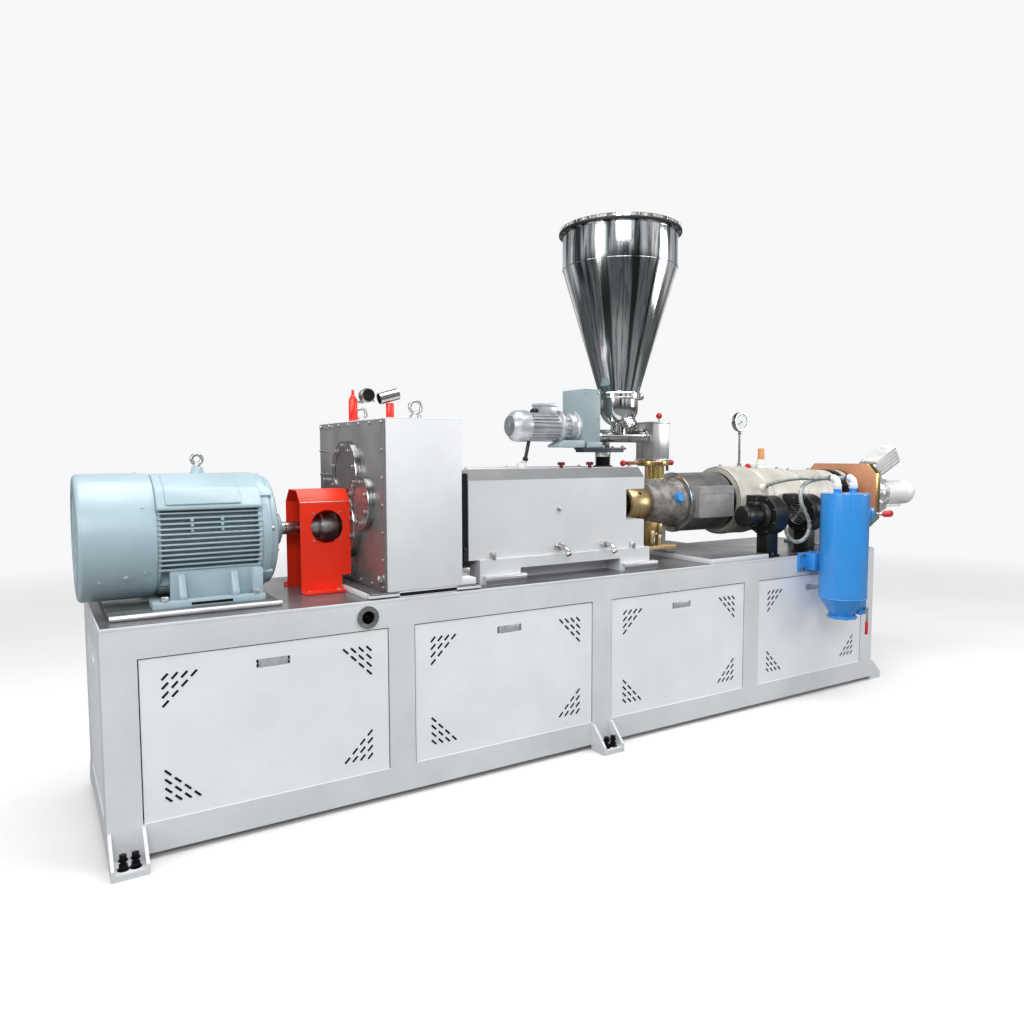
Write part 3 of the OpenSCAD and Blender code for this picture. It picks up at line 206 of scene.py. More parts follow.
# Base frame
# A welded frame of box rails and posts in light grey paint, with a deck plate whose top is painted a darker, glossy grey.
# Seats with the same paint are welded on the deck under the gearbox and the barrel, and a lifting tube crosses the frame.
def cover(skin, *names):
    """Paints nodes whose shape is right as it is"""
    for name in names:
        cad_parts[name].data.materials.clear()
        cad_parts[name].data.materials.append(skin)


def soften(bm, edges, r, steps=2):
    """Rounds edges, each taken once"""
    bmesh.ops.bevel(bm, geom=list(dict.fromkeys(edges)), offset=r / 1000, offset_type="OFFSET", segments=steps, profile=0.5,
                    affect="EDGES", material=-1, clamp_overlap=True)


def block(bm, x, y, up, l, w, h, soft=2.0, turned_by=None):
    """A cuboid from its low corner, with its edges rounded"""
    lie = Matrix.Translation(at(x + l / 2, y + w / 2, up + h / 2)) @ Matrix.Diagonal((l / 1000, w / 1000, h / 1000, 1))
    made = bmesh.ops.create_cube(bm, size=1, matrix=turned_by @ lie if turned_by else lie)["verts"]
    if soft:
        soften(bm, (e for v in made for e in v.link_edges), soft)


def stand(a, b):
    """Stands the z axis on the line from a to b, halfway along it"""
    return Matrix.Translation((a + b) / 2) @ (b - a).to_track_quat("Z", "Y").to_matrix().to_4x4()


def rod(bm, a, b, r, tip=None, soft=0.0, sides=32):
    """A round bar or cone between two points, its rims rounded"""
    a, b = at(*a), at(*b)
    made = bmesh.ops.create_cone(bm, cap_ends=True, cap_tris=False, segments=sides, radius1=r / 1000,
                                 radius2=(r if tip is None else tip) / 1000, depth=(b - a).length, matrix=stand(a, b))["verts"]
    if soft:
        soften(bm, (e for v in made for e in v.link_edges if any(len(f.verts) == sides for f in e.link_faces)), soft)


def on(p, way, d):
    """The point at a distance from p in a direction"""
    return tuple(a + b * d for a, b in zip(p, way))


def bolt(bm, p, way, flats, tall=0.65):
    """A hexagon head on its washer"""
    rod(bm, p, on(p, way, 2), flats * 0.72, sides=20)
    rod(bm, on(p, way, 1.9), on(p, way, 2 + flats * tall), flats * 0.577, soft=flats * 0.06, sides=6)


def screw(bm, p, way, r):
    """A round socket head"""
    rod(bm, on(p, way, -1), on(p, way, r * 0.9), r, soft=r * 0.18, sides=16)
    rod(bm, on(p, way, r * 0.88), on(p, way, r * 0.96), r * 0.5, sides=6)


def circle(centre, r, count, first=0.5):
    """Evenly spaced points on an upright circle that faces along the machine"""
    x, y, up = centre
    turns = [2 * pi * (i + first) / count for i in range(count)]
    return [(x, y - r * cos(a), up + r * sin(a)) for a in turns]


def build(name, bm, skin, stands_for=(), body="machine", sharp=38):
    """Closes a mesh, shades it and fixes it on its body"""
    bmesh.ops.remove_doubles(bm, verts=bm.verts, dist=1e-6)
    bmesh.ops.recalc_face_normals(bm, faces=bm.faces)
    mesh = bpy.data.meshes.new(name)
    bm.to_mesh(mesh)
    bm.free()
    mesh.materials.append(skin)
    mesh.shade_smooth()
    mesh.set_sharp_from_angle(angle=radians(sharp))
    piece = bpy.data.objects.new(name, mesh)
    bpy.context.collection.objects.link(piece)
    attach(piece, body)
    if stands_for:
        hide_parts(*stands_for)
    return piece


frame_paint = surface("frame_paint", (0.83, 0.835, 0.845), rough=0.38, patches=0.05, size=2.2, grain=0.12, fine=90)
deck_paint = surface("deck_paint", (0.36, 0.365, 0.375), rough=0.24, patches=0.18, size=3.5, grain=0.05, fine=40)
deck_paint.node_tree.nodes["Principled BSDF"].inputs["Specular IOR Level"].default_value = 0.25
machined = surface("machined_steel", (0.74, 0.74, 0.73), rough=0.24, metallic=1, patches=0.2, size=14, stretch=(1, 9, 9),
                   grain=0.1, fine=120)
cover(frame_paint, "bottom_rails", "top_rails", "cross_rails", "frame_posts", "foot_brackets")
cover(machined, "lifting_tube", "screw_shafts")
bm = bmesh.new()
block(bm, 0, 0, -12, 3780, 716, 11.2, soft=1)
build("deck_plate", bm, frame_paint, ["deck"])
bm = bmesh.new()
block(bm, 3, 3, -1, 3774, 710, 1, soft=0)
block(bm, 852, 4, 20, 68, 708, 1, soft=0)
block(bm, 2536, 4, 23, 385, 708, 1, soft=0)
build("deck_coat", bm, deck_paint)
bm = bmesh.new()
block(bm, 848, 26, 0, 452, 690, 20.4, soft=1.5)
block(bm, 848, 0, 0, 452, 27, 7.5, soft=1.5)
block(bm, 848, 0, 14, 452, 27, 6.4, soft=1.5)
block(bm, 848, 0, 0, 117, 27, 20.4, soft=1.5)
block(bm, 1195, 0, 0, 105, 27, 20.4, soft=1.5)
block(bm, 2532, 0, 0, 393, 716, 23.4, soft=1.5)
build("seat_blocks", bm, frame_paint, ["machined_seats"])
floor = bpy.data.objects.new("floor", bpy.data.meshes.new("floor"))
bm = bmesh.new()
bmesh.ops.create_grid(bm, x_segments=1, y_segments=1, size=60)
bm.to_mesh(floor.data)
bm.free()
ground = surface("pale_floor", (0.90, 0.90, 0.90), rough=0.75, patches=0.02, size=0.8)
tree = ground.node_tree
away = node(tree, "VectorMath", {0: node(tree, "TexCoord").outputs["Object"]}, operation="LENGTH")
fade = node(tree, "MapRange", {"Value": away.outputs["Value"]}, {"From Min": 3.0, "From Max": 7.5})
haze = node(tree, "Emission", values={"Color": tone(*backdrop)})
dull = node(tree, "BsdfDiffuse", values={"Color": tone(0.48, 0.49, 0.49)})
seen_floor = node(tree, "MixShader", {0: fade.outputs["Result"], 1: tree.nodes["Principled BSDF"].outputs["BSDF"],
                                      2: haze.outputs["Emission"]})
whole_floor = node(tree, "MixShader", {0: node(tree, "LightPath").outputs["Is Camera Ray"], 1: dull.outputs["BSDF"],
                                       2: seen_floor.outputs["Shader"]})
tree.links.new(whole_floor.outputs["Shader"], tree.nodes["Material Output"].inputs["Surface"])
floor.data.materials.append(ground)
bpy.context.collection.objects.link(floor)

# Levelling feet
# Gusseted brackets of painted plate, each with two black jack bolts that lift the frame off the floor.
bm = bmesh.new()
for x0 in (0, 1835):
    for y in (-58, 774):
        for x in (x0 + 36, x0 + 70):
            rod(bm, (x, y, -722), (x, y, -676), 8, sides=20)
            bolt(bm, (x, y, -720), UP, 24)
            bolt(bm, (x, y, -692), UP, 20, tall=0.8)
for y0 in (0, 610):
    for y in (y0 + 36, y0 + 70):
        rod(bm, (3838, y, -722), (3838, y, -676), 8, sides=20)
        bolt(bm, (3838, y, -720), UP, 24)
        bolt(bm, (3838, y, -692), UP, 20, tall=0.8)
black_bolts = surface("blackened_steel", (0.10, 0.10, 0.11), rough=0.35, metallic=0.7, patches=0.3, size=60)
build("jack_bolts", bm, black_bolts)


# Side panels
# Lift-off doors of white painted sheet with slanted louvre slots and a flush pull, hooked in the frame's bays.
# Black sheets behind the bays and the pulls, and black slivers over the louvre slots, are painted shade for the dark
# insides.
def spun(centre, way, degrees):
    """A turn about a line through a point"""
    return Matrix.Translation(at(*centre)) @ Matrix.Rotation(radians(degrees), 4, Vector(way)) @ Matrix.Translation(-at(*centre))


panel_paint = surface("panel_paint", (0.905, 0.91, 0.925), rough=0.34, patches=0.03, size=2.5, grain=0.05, fine=70)
cover(panel_paint, "front_panels", "rear_panels", "end_panels")
bay_pitch, slot_pitch = 920, 28.5
places = [(a, b, row, step) for a in (0, 1) for b in (0, 1) for row in range(4) for step in range(4 - row)]
# Painted shade: black slivers over each louvre slot, black sheets at the back of each bay and behind each pull.
slot_shade, pulls = bmesh.new(), bmesh.new()
for i in range(4):
    for right_side, upper, row, step in places:
        along, high = 72 + slot_pitch * step, 62 + slot_pitch * row
        x = bay_pitch * i + 104 + (812 - along if right_side else along)
        up = -623 + (515 - high if upper else high)
        for y, side in ((2.3, 1), (712.9, -1)):
            spot_x = x if side == 1 else 3780 - x
            slant = 45 if (right_side == upper) == (side == 1) else -45
            block(slot_shade, spot_x - 3.7, y, up - 13, 7.4, 0.8, 26, soft=0, turned_by=spun((spot_x, y, up), FRONT, slant))
    for y in (27, 687.5):
        block(slot_shade, bay_pitch * i + 101, y, -622, 818, 1.5, 517, soft=0)
    for y, back, face in ((15.2, 1.2, 5), (716 - 16.4, 1.2, 716 - 11)):
        block(slot_shade, bay_pitch * i + 454, y, -184, 112, back, 28, soft=0)
        block(pulls, bay_pitch * i + 462, face, -182.5, 96, 6, 25, soft=2)
        for x in (458, 562):
            screw(pulls, (bay_pitch * i + x - 1, 9 if y < 100 else 707, -170), (0, -1 if y < 100 else 1, 0), 2.5)
# Flat black used as painted shade in slots, bays, holes and tube ends.
painted_shade_black = surface("painted_shade_black", (0.03, 0.03, 0.035), rough=0.9, patches=0.2, size=20)
build("bay_painted_shade", slot_shade, painted_shade_black)
build("panel_pulls", pulls, surface("pull_steel", (0.80, 0.81, 0.82), rough=0.3, metallic=0.6, patches=0.1, size=40))


# Main motor
# A finned cast housing with a sheet fan cowl and a cast end bell, all in pale blue-grey paint.
# It is bolted by cast feet on a bright-edged base plate that lies on the deck.
def prism(bm, outline, axis, a, b, soft=2.0):
    """A drawing pushed through a straight distance; axis x takes (y, up), y takes (x, up) and z takes (x, y) points"""
    place = {"x": lambda p, d: at(d, p[0], p[1]), "y": lambda p, d: at(p[0], d, p[1]), "z": lambda p, d: at(p[0], p[1], d)}[axis]
    rim = [bm.verts.new(place(p, a)) for p in outline]
    face = bm.faces.new(rim)
    grown = bmesh.ops.extrude_face_region(bm, geom=[face])["geom"]
    tips = [v for v in grown if isinstance(v, bmesh.types.BMVert)]
    bmesh.ops.translate(bm, verts=tips, vec=place(outline[0], b) - place(outline[0], a))
    if soft:
        soften(bm, (e for v in rim + tips for e in v.link_edges), soft)


def turned(bm, profile, a, way, soft=0.0, steps=64):
    """Spins a profile of (radius, distance from a) round the line through a in a direction"""
    start, axis = at(*a), Vector(way).normalized()
    if soft:
        eased = [profile[0]]
        for p, q, r in zip(profile, profile[1:], profile[2:]):
            here, back, on_ = Vector(q), Vector(p) - Vector(q), Vector(r) - Vector(q)
            one = here + back * min(0.45, soft / max(back.length, 0.01))
            two = here + on_ * min(0.45, soft / max(on_.length, 0.01))
            eased += [tuple(one), tuple((one + two) * 0.25 + here * 0.5), tuple(two)]
        profile = eased + [profile[-1]]
    lie = Matrix.Translation(start) @ axis.to_track_quat("Z", "Y").to_matrix().to_4x4()
    dots = [bm.verts.new(lie @ Vector((r / 1000, 0, d / 1000))) for r, d in profile]
    lines = [bm.edges.new(pair) for pair in zip(dots, dots[1:])]
    bmesh.ops.spin(bm, geom=dots + lines, cent=start, axis=axis, angle=2 * pi, steps=steps, use_merge=True)


def ring(bm, centre, way, big, small, steps=40):
    """A round wire bent to a ring"""
    loop = [(big + small * cos(radians(a)), small * sin(radians(a))) for a in range(0, 361, 30)]
    turned(bm, loop, centre, way, steps=steps)


def shaft(x):
    """A point on the axis of the motor and the gearbox's input"""
    return x, 358, 240


motor_paint = surface("motor_paint", (0.63, 0.71, 0.745), rough=0.33, patches=0.05, size=3, grain=0.1, fine=80, coat=0.15)
bm = bmesh.new()
arc = [(197 + 16 * sin(radians(a)), 16 - 16 * cos(radians(a))) for a in range(0, 91, 15)]
turned(bm, [(150, 22), (150, 0)] + arc + [(213, 226), (208, 226), (208, 214), (150, 214)], shaft(-38), RIGHT, steps=96)
for r in range(22, 150, 18):
    ring(bm, shaft(-34), RIGHT, r, 2.6, steps=48)
for a in range(0, 180, 30):
    block(bm, -37, 206, 237, 5, 304, 6, soft=1, turned_by=spun(shaft(-38), RIGHT, a))
for a, x in ((-38, 20), (-34, 96), (-30, 150), (30, 150), (90, 150), (150, 150), (210, 150)):
    y, up = 358 - 212 * cos(radians(a)), 240 + 212 * sin(radians(a))
    screw(bm, (x, y, up), (0, -cos(radians(a)), sin(radians(a))), 8 if x == 96 else 5)
build("fan_cowl_shell", bm, motor_paint, ["fan_cowl"])
bm = bmesh.new()
rod(bm, shaft(-22), shaft(170), 149, sides=48)
build("cowl_dark", bm, surface("fan_shadow", (0.07, 0.08, 0.09), rough=0.7, patches=0.3, size=12))

bm = bmesh.new()
rod(bm, shaft(187), shaft(526), 181, sides=96)
for i in range(12):
    rise = 84 - 17 * i
    reach = sqrt(211 ** 2 - rise ** 2)
    block(bm, 190, 358 - reach, 240 + rise - 3, 333, reach - 110, 6, soft=2)
for i in range(16):
    rise = 128 - 17 * i
    reach = sqrt(211 ** 2 - rise ** 2)
    block(bm, 190, 358 + 110, 240 + rise - 3, 333, reach - 110, 6, soft=2)
for i in range(-7, 8):
    if i not in (-5, -4, -3):
        reach = sqrt(211 ** 2 - (18 * i) ** 2)
        block(bm, 190, 355 + 18 * i, 240 + 100, 333, 6, reach - 100, soft=2)
    reach = sqrt(205 ** 2 - (18 * i) ** 2)
    block(bm, 200, 355 + 18 * i, 240 - reach, 313, 6, reach - 90, soft=2)
for x in (296, 392):
    for i in range(3):
        rod(bm, (x, 150, 300 - 17 * i), (x, 200, 300 - 17 * i), 5, soft=1.5, sides=16)
prism(bm, [(154, 334), (152, 344), (196, 402), (292, 450), (330, 450), (330, 380), (230, 334)], "x", 190, 524, soft=5)
prism(bm, [(160, 348), (151, 354), (192, 404), (282, 452), (310, 440), (300, 390), (220, 345)], "x", 216, 456, soft=6)
for a in (45, 135, 225, 315):
    block(bm, 478, 336, 240 + 166, 44, 44, 38, soft=4, turned_by=spun(shaft(526), RIGHT, a))
for x, l in ((187, 14), (512, 14)):
    turned(bm, [(150, 0), (206, 0), (206, l), (150, l)], shaft(x), RIGHT, soft=3, steps=96)
for s in (-1, 1):
    y = 358 + s * 170
    block(bm, 166, y - 46, 15, 360, 92, 24, soft=3)
    block(bm, 226, y - 8, 38, 294, 16, 96, soft=3)
    for x in (250, 418):
        outline = [(y + s * 44, 38), (y + s * 44, 52), (y + s * 18, 120), (y - s * 60, 150), (y - s * 60, 38)]
        prism(bm, outline, "x", x, x + 22, soft=3)
    block(bm, 486, y - 40, 38, 34, 80, 90, soft=4)
rod(bm, (351, 358, 400), (351, 358, 474), 34, tip=17, soft=4)
build("motor_housing", bm, motor_paint, ["motor_body"])

bm = bmesh.new()
turned(bm, [(0, 0), (207, 0), (207, 30), (197, 34), (197, 50), (186, 57), (164, 60), (100, 68), (76, 74), (66, 80), (62, 98),
            (58, 104), (44, 106), (44, 110), (26, 110), (26, 106), (0, 106)], shaft(526), RIGHT, soft=3, steps=96)
for a in range(0, 360, 45):
    block(bm, 576, 355, 240 + 96, 16, 6, 74, soft=2, turned_by=spun(shaft(526), RIGHT, a + 22))
for a in (45, 135, 225, 315):
    block(bm, 520, 334, 240 + 178, 46, 48, 36, soft=4, turned_by=spun(shaft(526), RIGHT, a))
build("end_bell", bm, motor_paint, ["motor_end_bell"])
bm = bmesh.new()
for p in circle(shaft(556), 201, 8, first=0.4 / pi):
    bolt(bm, p, RIGHT, 11)
for s in (-1, 1):
    for x in (204, 500):
        bolt(bm, (x - 4 * (x > 300), 358 + s * (170 + 34), 39), UP, 20)
zinc = surface("zinc_bolts", (0.80, 0.80, 0.79), rough=0.34, metallic=1, patches=0.12, size=40)
rod(bm, (351, 358, 472), (351, 358, 486), 12, tip=9, soft=2)
ring(bm, (351, 358, 500), BACK, 17, 6.5)
build("motor_bolts", bm, zinc)

bm = bmesh.new()
block(bm, 35.5, 85, 0, 530, 546, 15, soft=5)
build("motor_base_plate", bm, surface("base_plate_paint", (0.46, 0.48, 0.49), rough=0.3, metallic=0.4, patches=0.2, size=6,
                                      stretch=(1, 4, 4)), ["motor_base"])
bright_bar = surface("bright_bar", (0.86, 0.86, 0.87), rough=0.3, metallic=0.5, patches=0.08, size=12)
bm = bmesh.new()
rod(bm, (35, 89, 9), (566, 89, 9), 9, soft=1)
build("base_edge", bm, bright_bar)
# Black strips on the front motor foot and over the slot in the gearbox seat's front are painted shade.
bm = bmesh.new()
block(bm, 284, 141.2, 21, 132, 2, 9, soft=0)
block(bm, 965, -0.5, 5, 231, 1.4, 12, soft=0)
build("dark_slots", bm, painted_shade_black)

# Drive line
# A bright turned shaft joins the motor to the gearbox through a two-part turned coupling.
turned_steel = surface("turned_steel", (0.78, 0.78, 0.77), rough=0.2, metallic=1, patches=0.35, size=18, stretch=(14, 0.6, 0.6),
                       grain=0.25, fine=30)
cover(turned_steel, "drive_shaft")
bm = bmesh.new()
turned(bm, [(24, 0), (44, 0), (49, 5), (49, 46), (46, 49), (46, 55), (52, 58), (52, 112), (47, 118), (24, 118)],
       shaft(731.5), RIGHT, soft=1, steps=64)
coupling_steel = surface("coupling_steel", (0.72, 0.72, 0.72), rough=0.36, metallic=1, patches=0.25, size=10,
                         stretch=(12, 0.6, 0.6))
build("coupling_hubs", bm, coupling_steel, ["shaft_coupling"], body="drive_line")


# Coupling guard
# Orange-red painted sheet bent to a tunnel over the coupling, with a round window and two bolted foot flanges.
# A bright zinc wire along the upper bend is a painted highlight of the bend.
def sheet_with_hole(bm, outline, y, thick, centre=None, r=0):
    """A flat sheet across the machine's front, with one round hole"""
    loops = [[bm.verts.new(at(x, y, up)) for x, up in outline]]
    if r:
        loops.append([bm.verts.new(at(centre[0] + r * cos(a * pi / 24), y, centre[1] + r * sin(a * pi / 24))) for a in range(48)])
    lines = [bm.edges.new((loop[i - 1], loop[i])) for loop in loops for i in range(len(loop))]
    faces = [g for g in bmesh.ops.triangle_fill(bm, use_beauty=True, edges=lines)["geom"] if isinstance(g, bmesh.types.BMFace)]
    grown = bmesh.ops.extrude_face_region(bm, geom=faces)["geom"]
    bmesh.ops.translate(bm, verts=[v for v in grown if isinstance(v, bmesh.types.BMVert)], vec=(0, thick / 1000, 0))


guard_paint = surface("guard_orange", (1.0, 0.205, 0.075), rough=0.4, patches=0.06, size=4, grain=0.05, fine=60)
bm = bmesh.new()
window = (788, 265, 246)
wall = [(687, 0), (843, 0), (843, 60), (879, 60), (879, 338), (687, 338)]
sheet_with_hole(bm, wall, 265, 4, (window[0], window[2]), 62)
sheet_with_hole(bm, wall, 447, 4)
prism(bm, [(265, 337), (310, 384), (406, 384), (451, 337), (447, 335.5), (404.3, 380), (311.7, 380), (269, 335.5)], "x", 687, 879,
      soft=0.8)
for y0, y1 in ((211, 268), (448, 505)):
    block(bm, 687, y0, 0, 152, y1 - y0, 4, soft=1.2)
block(bm, 687, 211, 0, 152, 4, 12, soft=1.2)
block(bm, 687, 501, 0, 152, 4, 12, soft=1.2)
rod(bm, (687, 266, 5), (843, 266, 5), 2.5, sides=12)
turned(bm, [(62, 0), (62, -1.6), (65, -2), (65, 0)], window, BACK, steps=48)
turned(bm, [(82, 0), (82, -1), (84, -1), (84, 0)], window, BACK, steps=48)
build("guard_sheet", bm, guard_paint, ["coupling_guard"], sharp=25)
bm = bmesh.new()
# This zinc wire along the upper bend is a painted highlight, not worn paint.
rod(bm, (688, 266.2, 338), (878, 266.2, 338), 1.9, sides=12)
for a in (45, 135, 225, 315):
    screw(bm, on(window, (cos(radians(a)), 0, sin(radians(a))), 73), FRONT, 4)
for x in (708, 818):
    for y in (232, 484):
        bolt(bm, (x, y, 4), UP, 12)
build("guard_screws_and_highlight", bm, zinc)

# Gearbox
# A heavy rectangular housing in light paint on the machined seat, closed by a dark glossy end plate with socket screws.
# Round bearing covers with bright turned rims are screwed on the plate; eyebolts and two red sight posts stand on top.
gearbox_paint = surface("gearbox_paint", (0.87, 0.875, 0.885), rough=0.36, patches=0.04, size=2.5, grain=0.08, fine=60)
bm = bmesh.new()
block(bm, 920, 0, 21, 302, 716, 621, soft=6)
block(bm, 922, 2, 640, 298, 712, 6, soft=2)
block(bm, 1216, 4, 21, 66, 708, 26, soft=3)
build("gearbox_case", bm, gearbox_paint, ["gearbox_housing"])
plate_paint = surface("dark_plate", (0.44, 0.43, 0.43), rough=0.28, metallic=0.1, patches=0.08, size=4, coat=0.35)
bm = bmesh.new()
prism(bm, [(6, 33), (6, 642), (710, 642), (710, 33), (702, 25), (14, 25)], "x", 912, 920, soft=1.5)
build("gearbox_plate", bm, plate_paint, ["gearbox_end_plate"])
bm = bmesh.new()
edge_screws = [(24 + 111.3 * i, 630) for i in range(7)] + [(24 + 111.3 * i, 38) for i in range(7)]
edge_screws += [(y, 38 + 98.7 * i) for i in range(1, 6) for y in (20, 696)]
for y, up in edge_screws:
    screw(bm, (912, y, up), LEFT, 6)
covers = [(358, 432, 138, 24, 10), (190, 336, 102, 28, 8), (526, 336, 102, 28, 8), (358, 240, 128, 32, 10)]
for y, up, r, t, count in covers:
    for p in circle((912 - t + 1, y, up), r - 20, count):
        bolt(bm, p, LEFT, 12)
bolt(bm, (912, 30, 66), LEFT, 26)
rod(bm, (890, 30, 66), (902, 30, 66), 9, soft=2, sides=20)
build("gearbox_screws", bm, zinc)
rims, faces = bmesh.new(), bmesh.new()
for y, up, r, t, count in covers:
    turned(rims, [(r - 3, 0), (r - 3, -t), (r - 1.5, -t), (r, -t + 1.5), (r, 0), (r - 3, 0)], (912, y, up), RIGHT, steps=80)
    turned(faces, [(0, -t + 3), (r - 34, -t + 3), (r - 36, -t + 1), (r - 2.9, -t + 1), (r - 2.9, 0)], (912, y, up), RIGHT,
           steps=80)
turned(faces, [(26, -36), (58, -36), (62, -32), (62, -20), (70, -16), (70, -4)], shaft(916), RIGHT, soft=1.5)
rod(faces, shaft(882), shaft(884), 50, sides=48)
turned(rims, [(44, 0), (44, -3), (54, -3), (54, 0)], shaft(881), RIGHT, soft=0.8)
build("cover_rims", rims, turned_steel, ["bearing_covers"])
build("cover_faces", faces, surface("cover_paint", (0.38, 0.375, 0.38), rough=0.3, metallic=0.1, patches=0.1, size=6, coat=0.35))

eyes, tubes, posts, tube_shade = bmesh.new(), bmesh.new(), bmesh.new(), bmesh.new()
for y in (80, 636):
    rod(eyes, (1071, y, 646), (1071, y, 660), 22, soft=3)
    rod(eyes, (1071, y, 658), (1071, y, 668), 14, soft=3)
    ring(eyes, (1071, y, 688), BACK, 23, 7)
build("eyebolts", eyes, zinc)
rod(posts, (1000, 540, 646), (1000, 540, 746), 18, soft=2)
rod(posts, (1000, 540, 745), (1000, 540, 762), 15, tip=7, soft=2)
rod(posts, (1000, 540, 760), (1000, 540, 783), 6, soft=2)
rod(posts, (1160, 530, 646), (1160, 530, 732), 17, soft=2)
# A black disc inside the open end of the stainless tube is painted shade.
rod(tube_shade, (1054, 504, 760), (1054, 508, 760), 25.5, sides=32)
build("tube_ends", tube_shade, painted_shade_black)
build("red_posts", posts, surface("post_red", (0.93, 0.17, 0.10), rough=0.3, patches=0.1, size=20, coat=0.3))
turned(tubes, [(25, 0), (28, 0), (28, 46), (25, 46), (25, 0)], (1054, 500, 760), BACK, steps=40)
turned(tubes, [(28, 10), (30, 10), (30, 22), (28, 22)], (1054, 500, 760), BACK, soft=0.8, steps=40)
turned(tubes, [(21, 0), (24, 0), (24, 88), (21, 88), (21, 0)], (1112, 530, 748), (84, 0, 24), steps=40)
block(tubes, 1012, 528, 726, 30, 24, 12, soft=2)
bolt(tubes, (1074, 512, 742), (1, 0, -1), 9)
stainless = surface("bright_stainless", (0.82, 0.82, 0.81), rough=0.16, metallic=1, patches=0.16, size=5, stretch=(1, 1, 0.3))
build("gearbox_top_fittings", tubes, stainless, ["gearbox_fittings"])

# Connecting flange
# A black cast lantern bolted between the gearbox and the distribution box, with a bent oil tube at its foot.
iron = surface("black_iron", (0.12, 0.12, 0.125), rough=0.4, metallic=0.4, patches=0.25, size=14, grain=0.3, fine=120)
cover(iron, "connecting_flange")
bm = bmesh.new()
for up in (80, 180, 290, 400):
    for y in (118, 598):
        bolt(bm, (1252, y, up), RIGHT, 16)
for up in (330, 190):
    bolt(bm, (1236, 101, up), FRONT, 20)
block(bm, 1236, 62, 47, 52, 40, 30, soft=3)
build("lantern_bolts", bm, zinc)


def pipe(bm, points, r, round_off=4):
    """A bent tube through points"""
    line = bpy.data.curves.new("line", "CURVE")
    line.dimensions, line.bevel_depth, line.bevel_resolution, line.use_fill_caps = "3D", r / 1000, round_off, True
    line.resolution_u = 10
    run = line.splines.new("BEZIER")
    run.bezier_points.add(len(points) - 1)
    for dot, p in zip(run.bezier_points, points):
        dot.co = at(*p)
        dot.handle_left_type = dot.handle_right_type = "AUTO"
    holder = bpy.data.objects.new("line", line)
    mesh = bpy.data.meshes.new_from_object(holder)
    bm.from_mesh(mesh)
    bpy.data.objects.remove(holder)
    bpy.data.curves.remove(line)
    bpy.data.meshes.remove(mesh)


bm = bmesh.new()
pipe(bm, [(1270, 96, 150), (1270, 78, 146), (1266, 66, 122), (1256, 60, 92), (1244, 64, 82), (1236, 80, 90), (1234, 100, 96)], 8)
build("oil_tube", bm, black_bolts)

# Distribution box
# A long welded steel box in pale grey paint with chamfered top edges, on a low cast pedestal with a recess on each side.
# Its right end is cut away so that a spanner reaches the screw couplings, and two bright drain pipes leave its front.
box_paint = surface("box_paint", (0.84, 0.845, 0.855), rough=0.36, metallic=0.1, patches=0.04, size=2.4)
cover(box_paint, "distribution_box", "pedestal")
# Darker grey strips on the top chamfers and the ledge fronts are painted dark reflections of roof and floor.
bm = bmesh.new()
for s in (-1, 1):
    slope = [(358 + s * 262.6, 413), (358 + s * 220, 455.6), (358 + s * 220, 454.4), (358 + s * 261.5, 412.9)]
    prism(bm, slope, "x", 1300.5, 2199.5, soft=0)
    for x in (1357, 2060):
        block(bm, x, 358 + s * 300 - 0.6, 1, 191, 1.2, 18, soft=0)
build("box_painted_reflections", bm, surface("painted_reflection_grey", (0.42, 0.425, 0.43), rough=0.35, patches=0.08, size=5))
bm = bmesh.new()
for s in (-1, 1):
    for x in (1357, 2060):
        rod(bm, (x, 358 + s * 292, 26), (x + 191, 358 + s * 292, 26), 9.5, soft=1)
build("ledge_bars", bm, bright_bar)
bm = bmesh.new()
for x, up in ((1725, 129), (1968, 125)):
    turned(bm, [(0, 0), (16, 0), (16, 9), (14, 10), (14, 14), (16, 15), (16, 24), (0, 24)], (x, 96, up), FRONT, soft=1, steps=32)
    pipe(bm, [(x, 96, up), (x, 62, up), (x, 42, up - 3), (x, 26, up - 12), (x, 15, up - 27)], 11.5)
    rod(bm, (x, 18, up - 23), (x, 13, up - 30), 12.5, soft=1)
build("bright_drain_pipes", bm, turned_steel, ["drain_pipes"])
bm = bmesh.new()
for x in (1406, 2130):
    for y in (89, 627):
        rod(bm, (x, y, 96), (x, y, 124), 12.5, soft=2)
screw(bm, (1730, 96, 285), FRONT, 9)
for x in (1330, 1750, 2170):
    for y in (170, 546):
        screw(bm, (x, y, 455), UP, 7)
build("box_bolts", bm, zinc)
bm = bmesh.new()
for x in (1788, 1941):
    rod(bm, (x, 160, 455), (x, 160, 470), 8, sides=20)
    for a in range(0, 360, 72):
        block(bm, x - 5, 160, 467, 10, 17, 14, soft=4, turned_by=spun((x, 160, 470), UP, a))
build("star_knobs", bm, surface("knob_dark_red", (0.40, 0.08, 0.10), rough=0.35, patches=0.15, size=40))


# Screw coupling ring and barrel neck
# A turned brass ring with radial holes bridges the box and the cast-iron neck; the twin screw shafts run inside it.
# The rough-cast neck ends in a bright flange and carries the feed throat's pad, a blue plug, and a brass foot on a wooden bar.
def throat(up):
    """A point on the feed throat's upright axis"""
    return 2482, 358, up


brass = surface("turned_brass", (0.78, 0.68, 0.50), rough=0.34, metallic=0.85, patches=0.1, size=12, stretch=(10, 1, 1),
                grain=0.08, fine=30)
bm = bmesh.new()
turned(bm, [(66, 0), (83, 0), (85, 3), (85, 119), (83, 121.6), (66, 121.6), (66, 0)], barrel(2290), RIGHT, steps=80)
build("brass_ring", bm, brass, ["coupling_ring"])
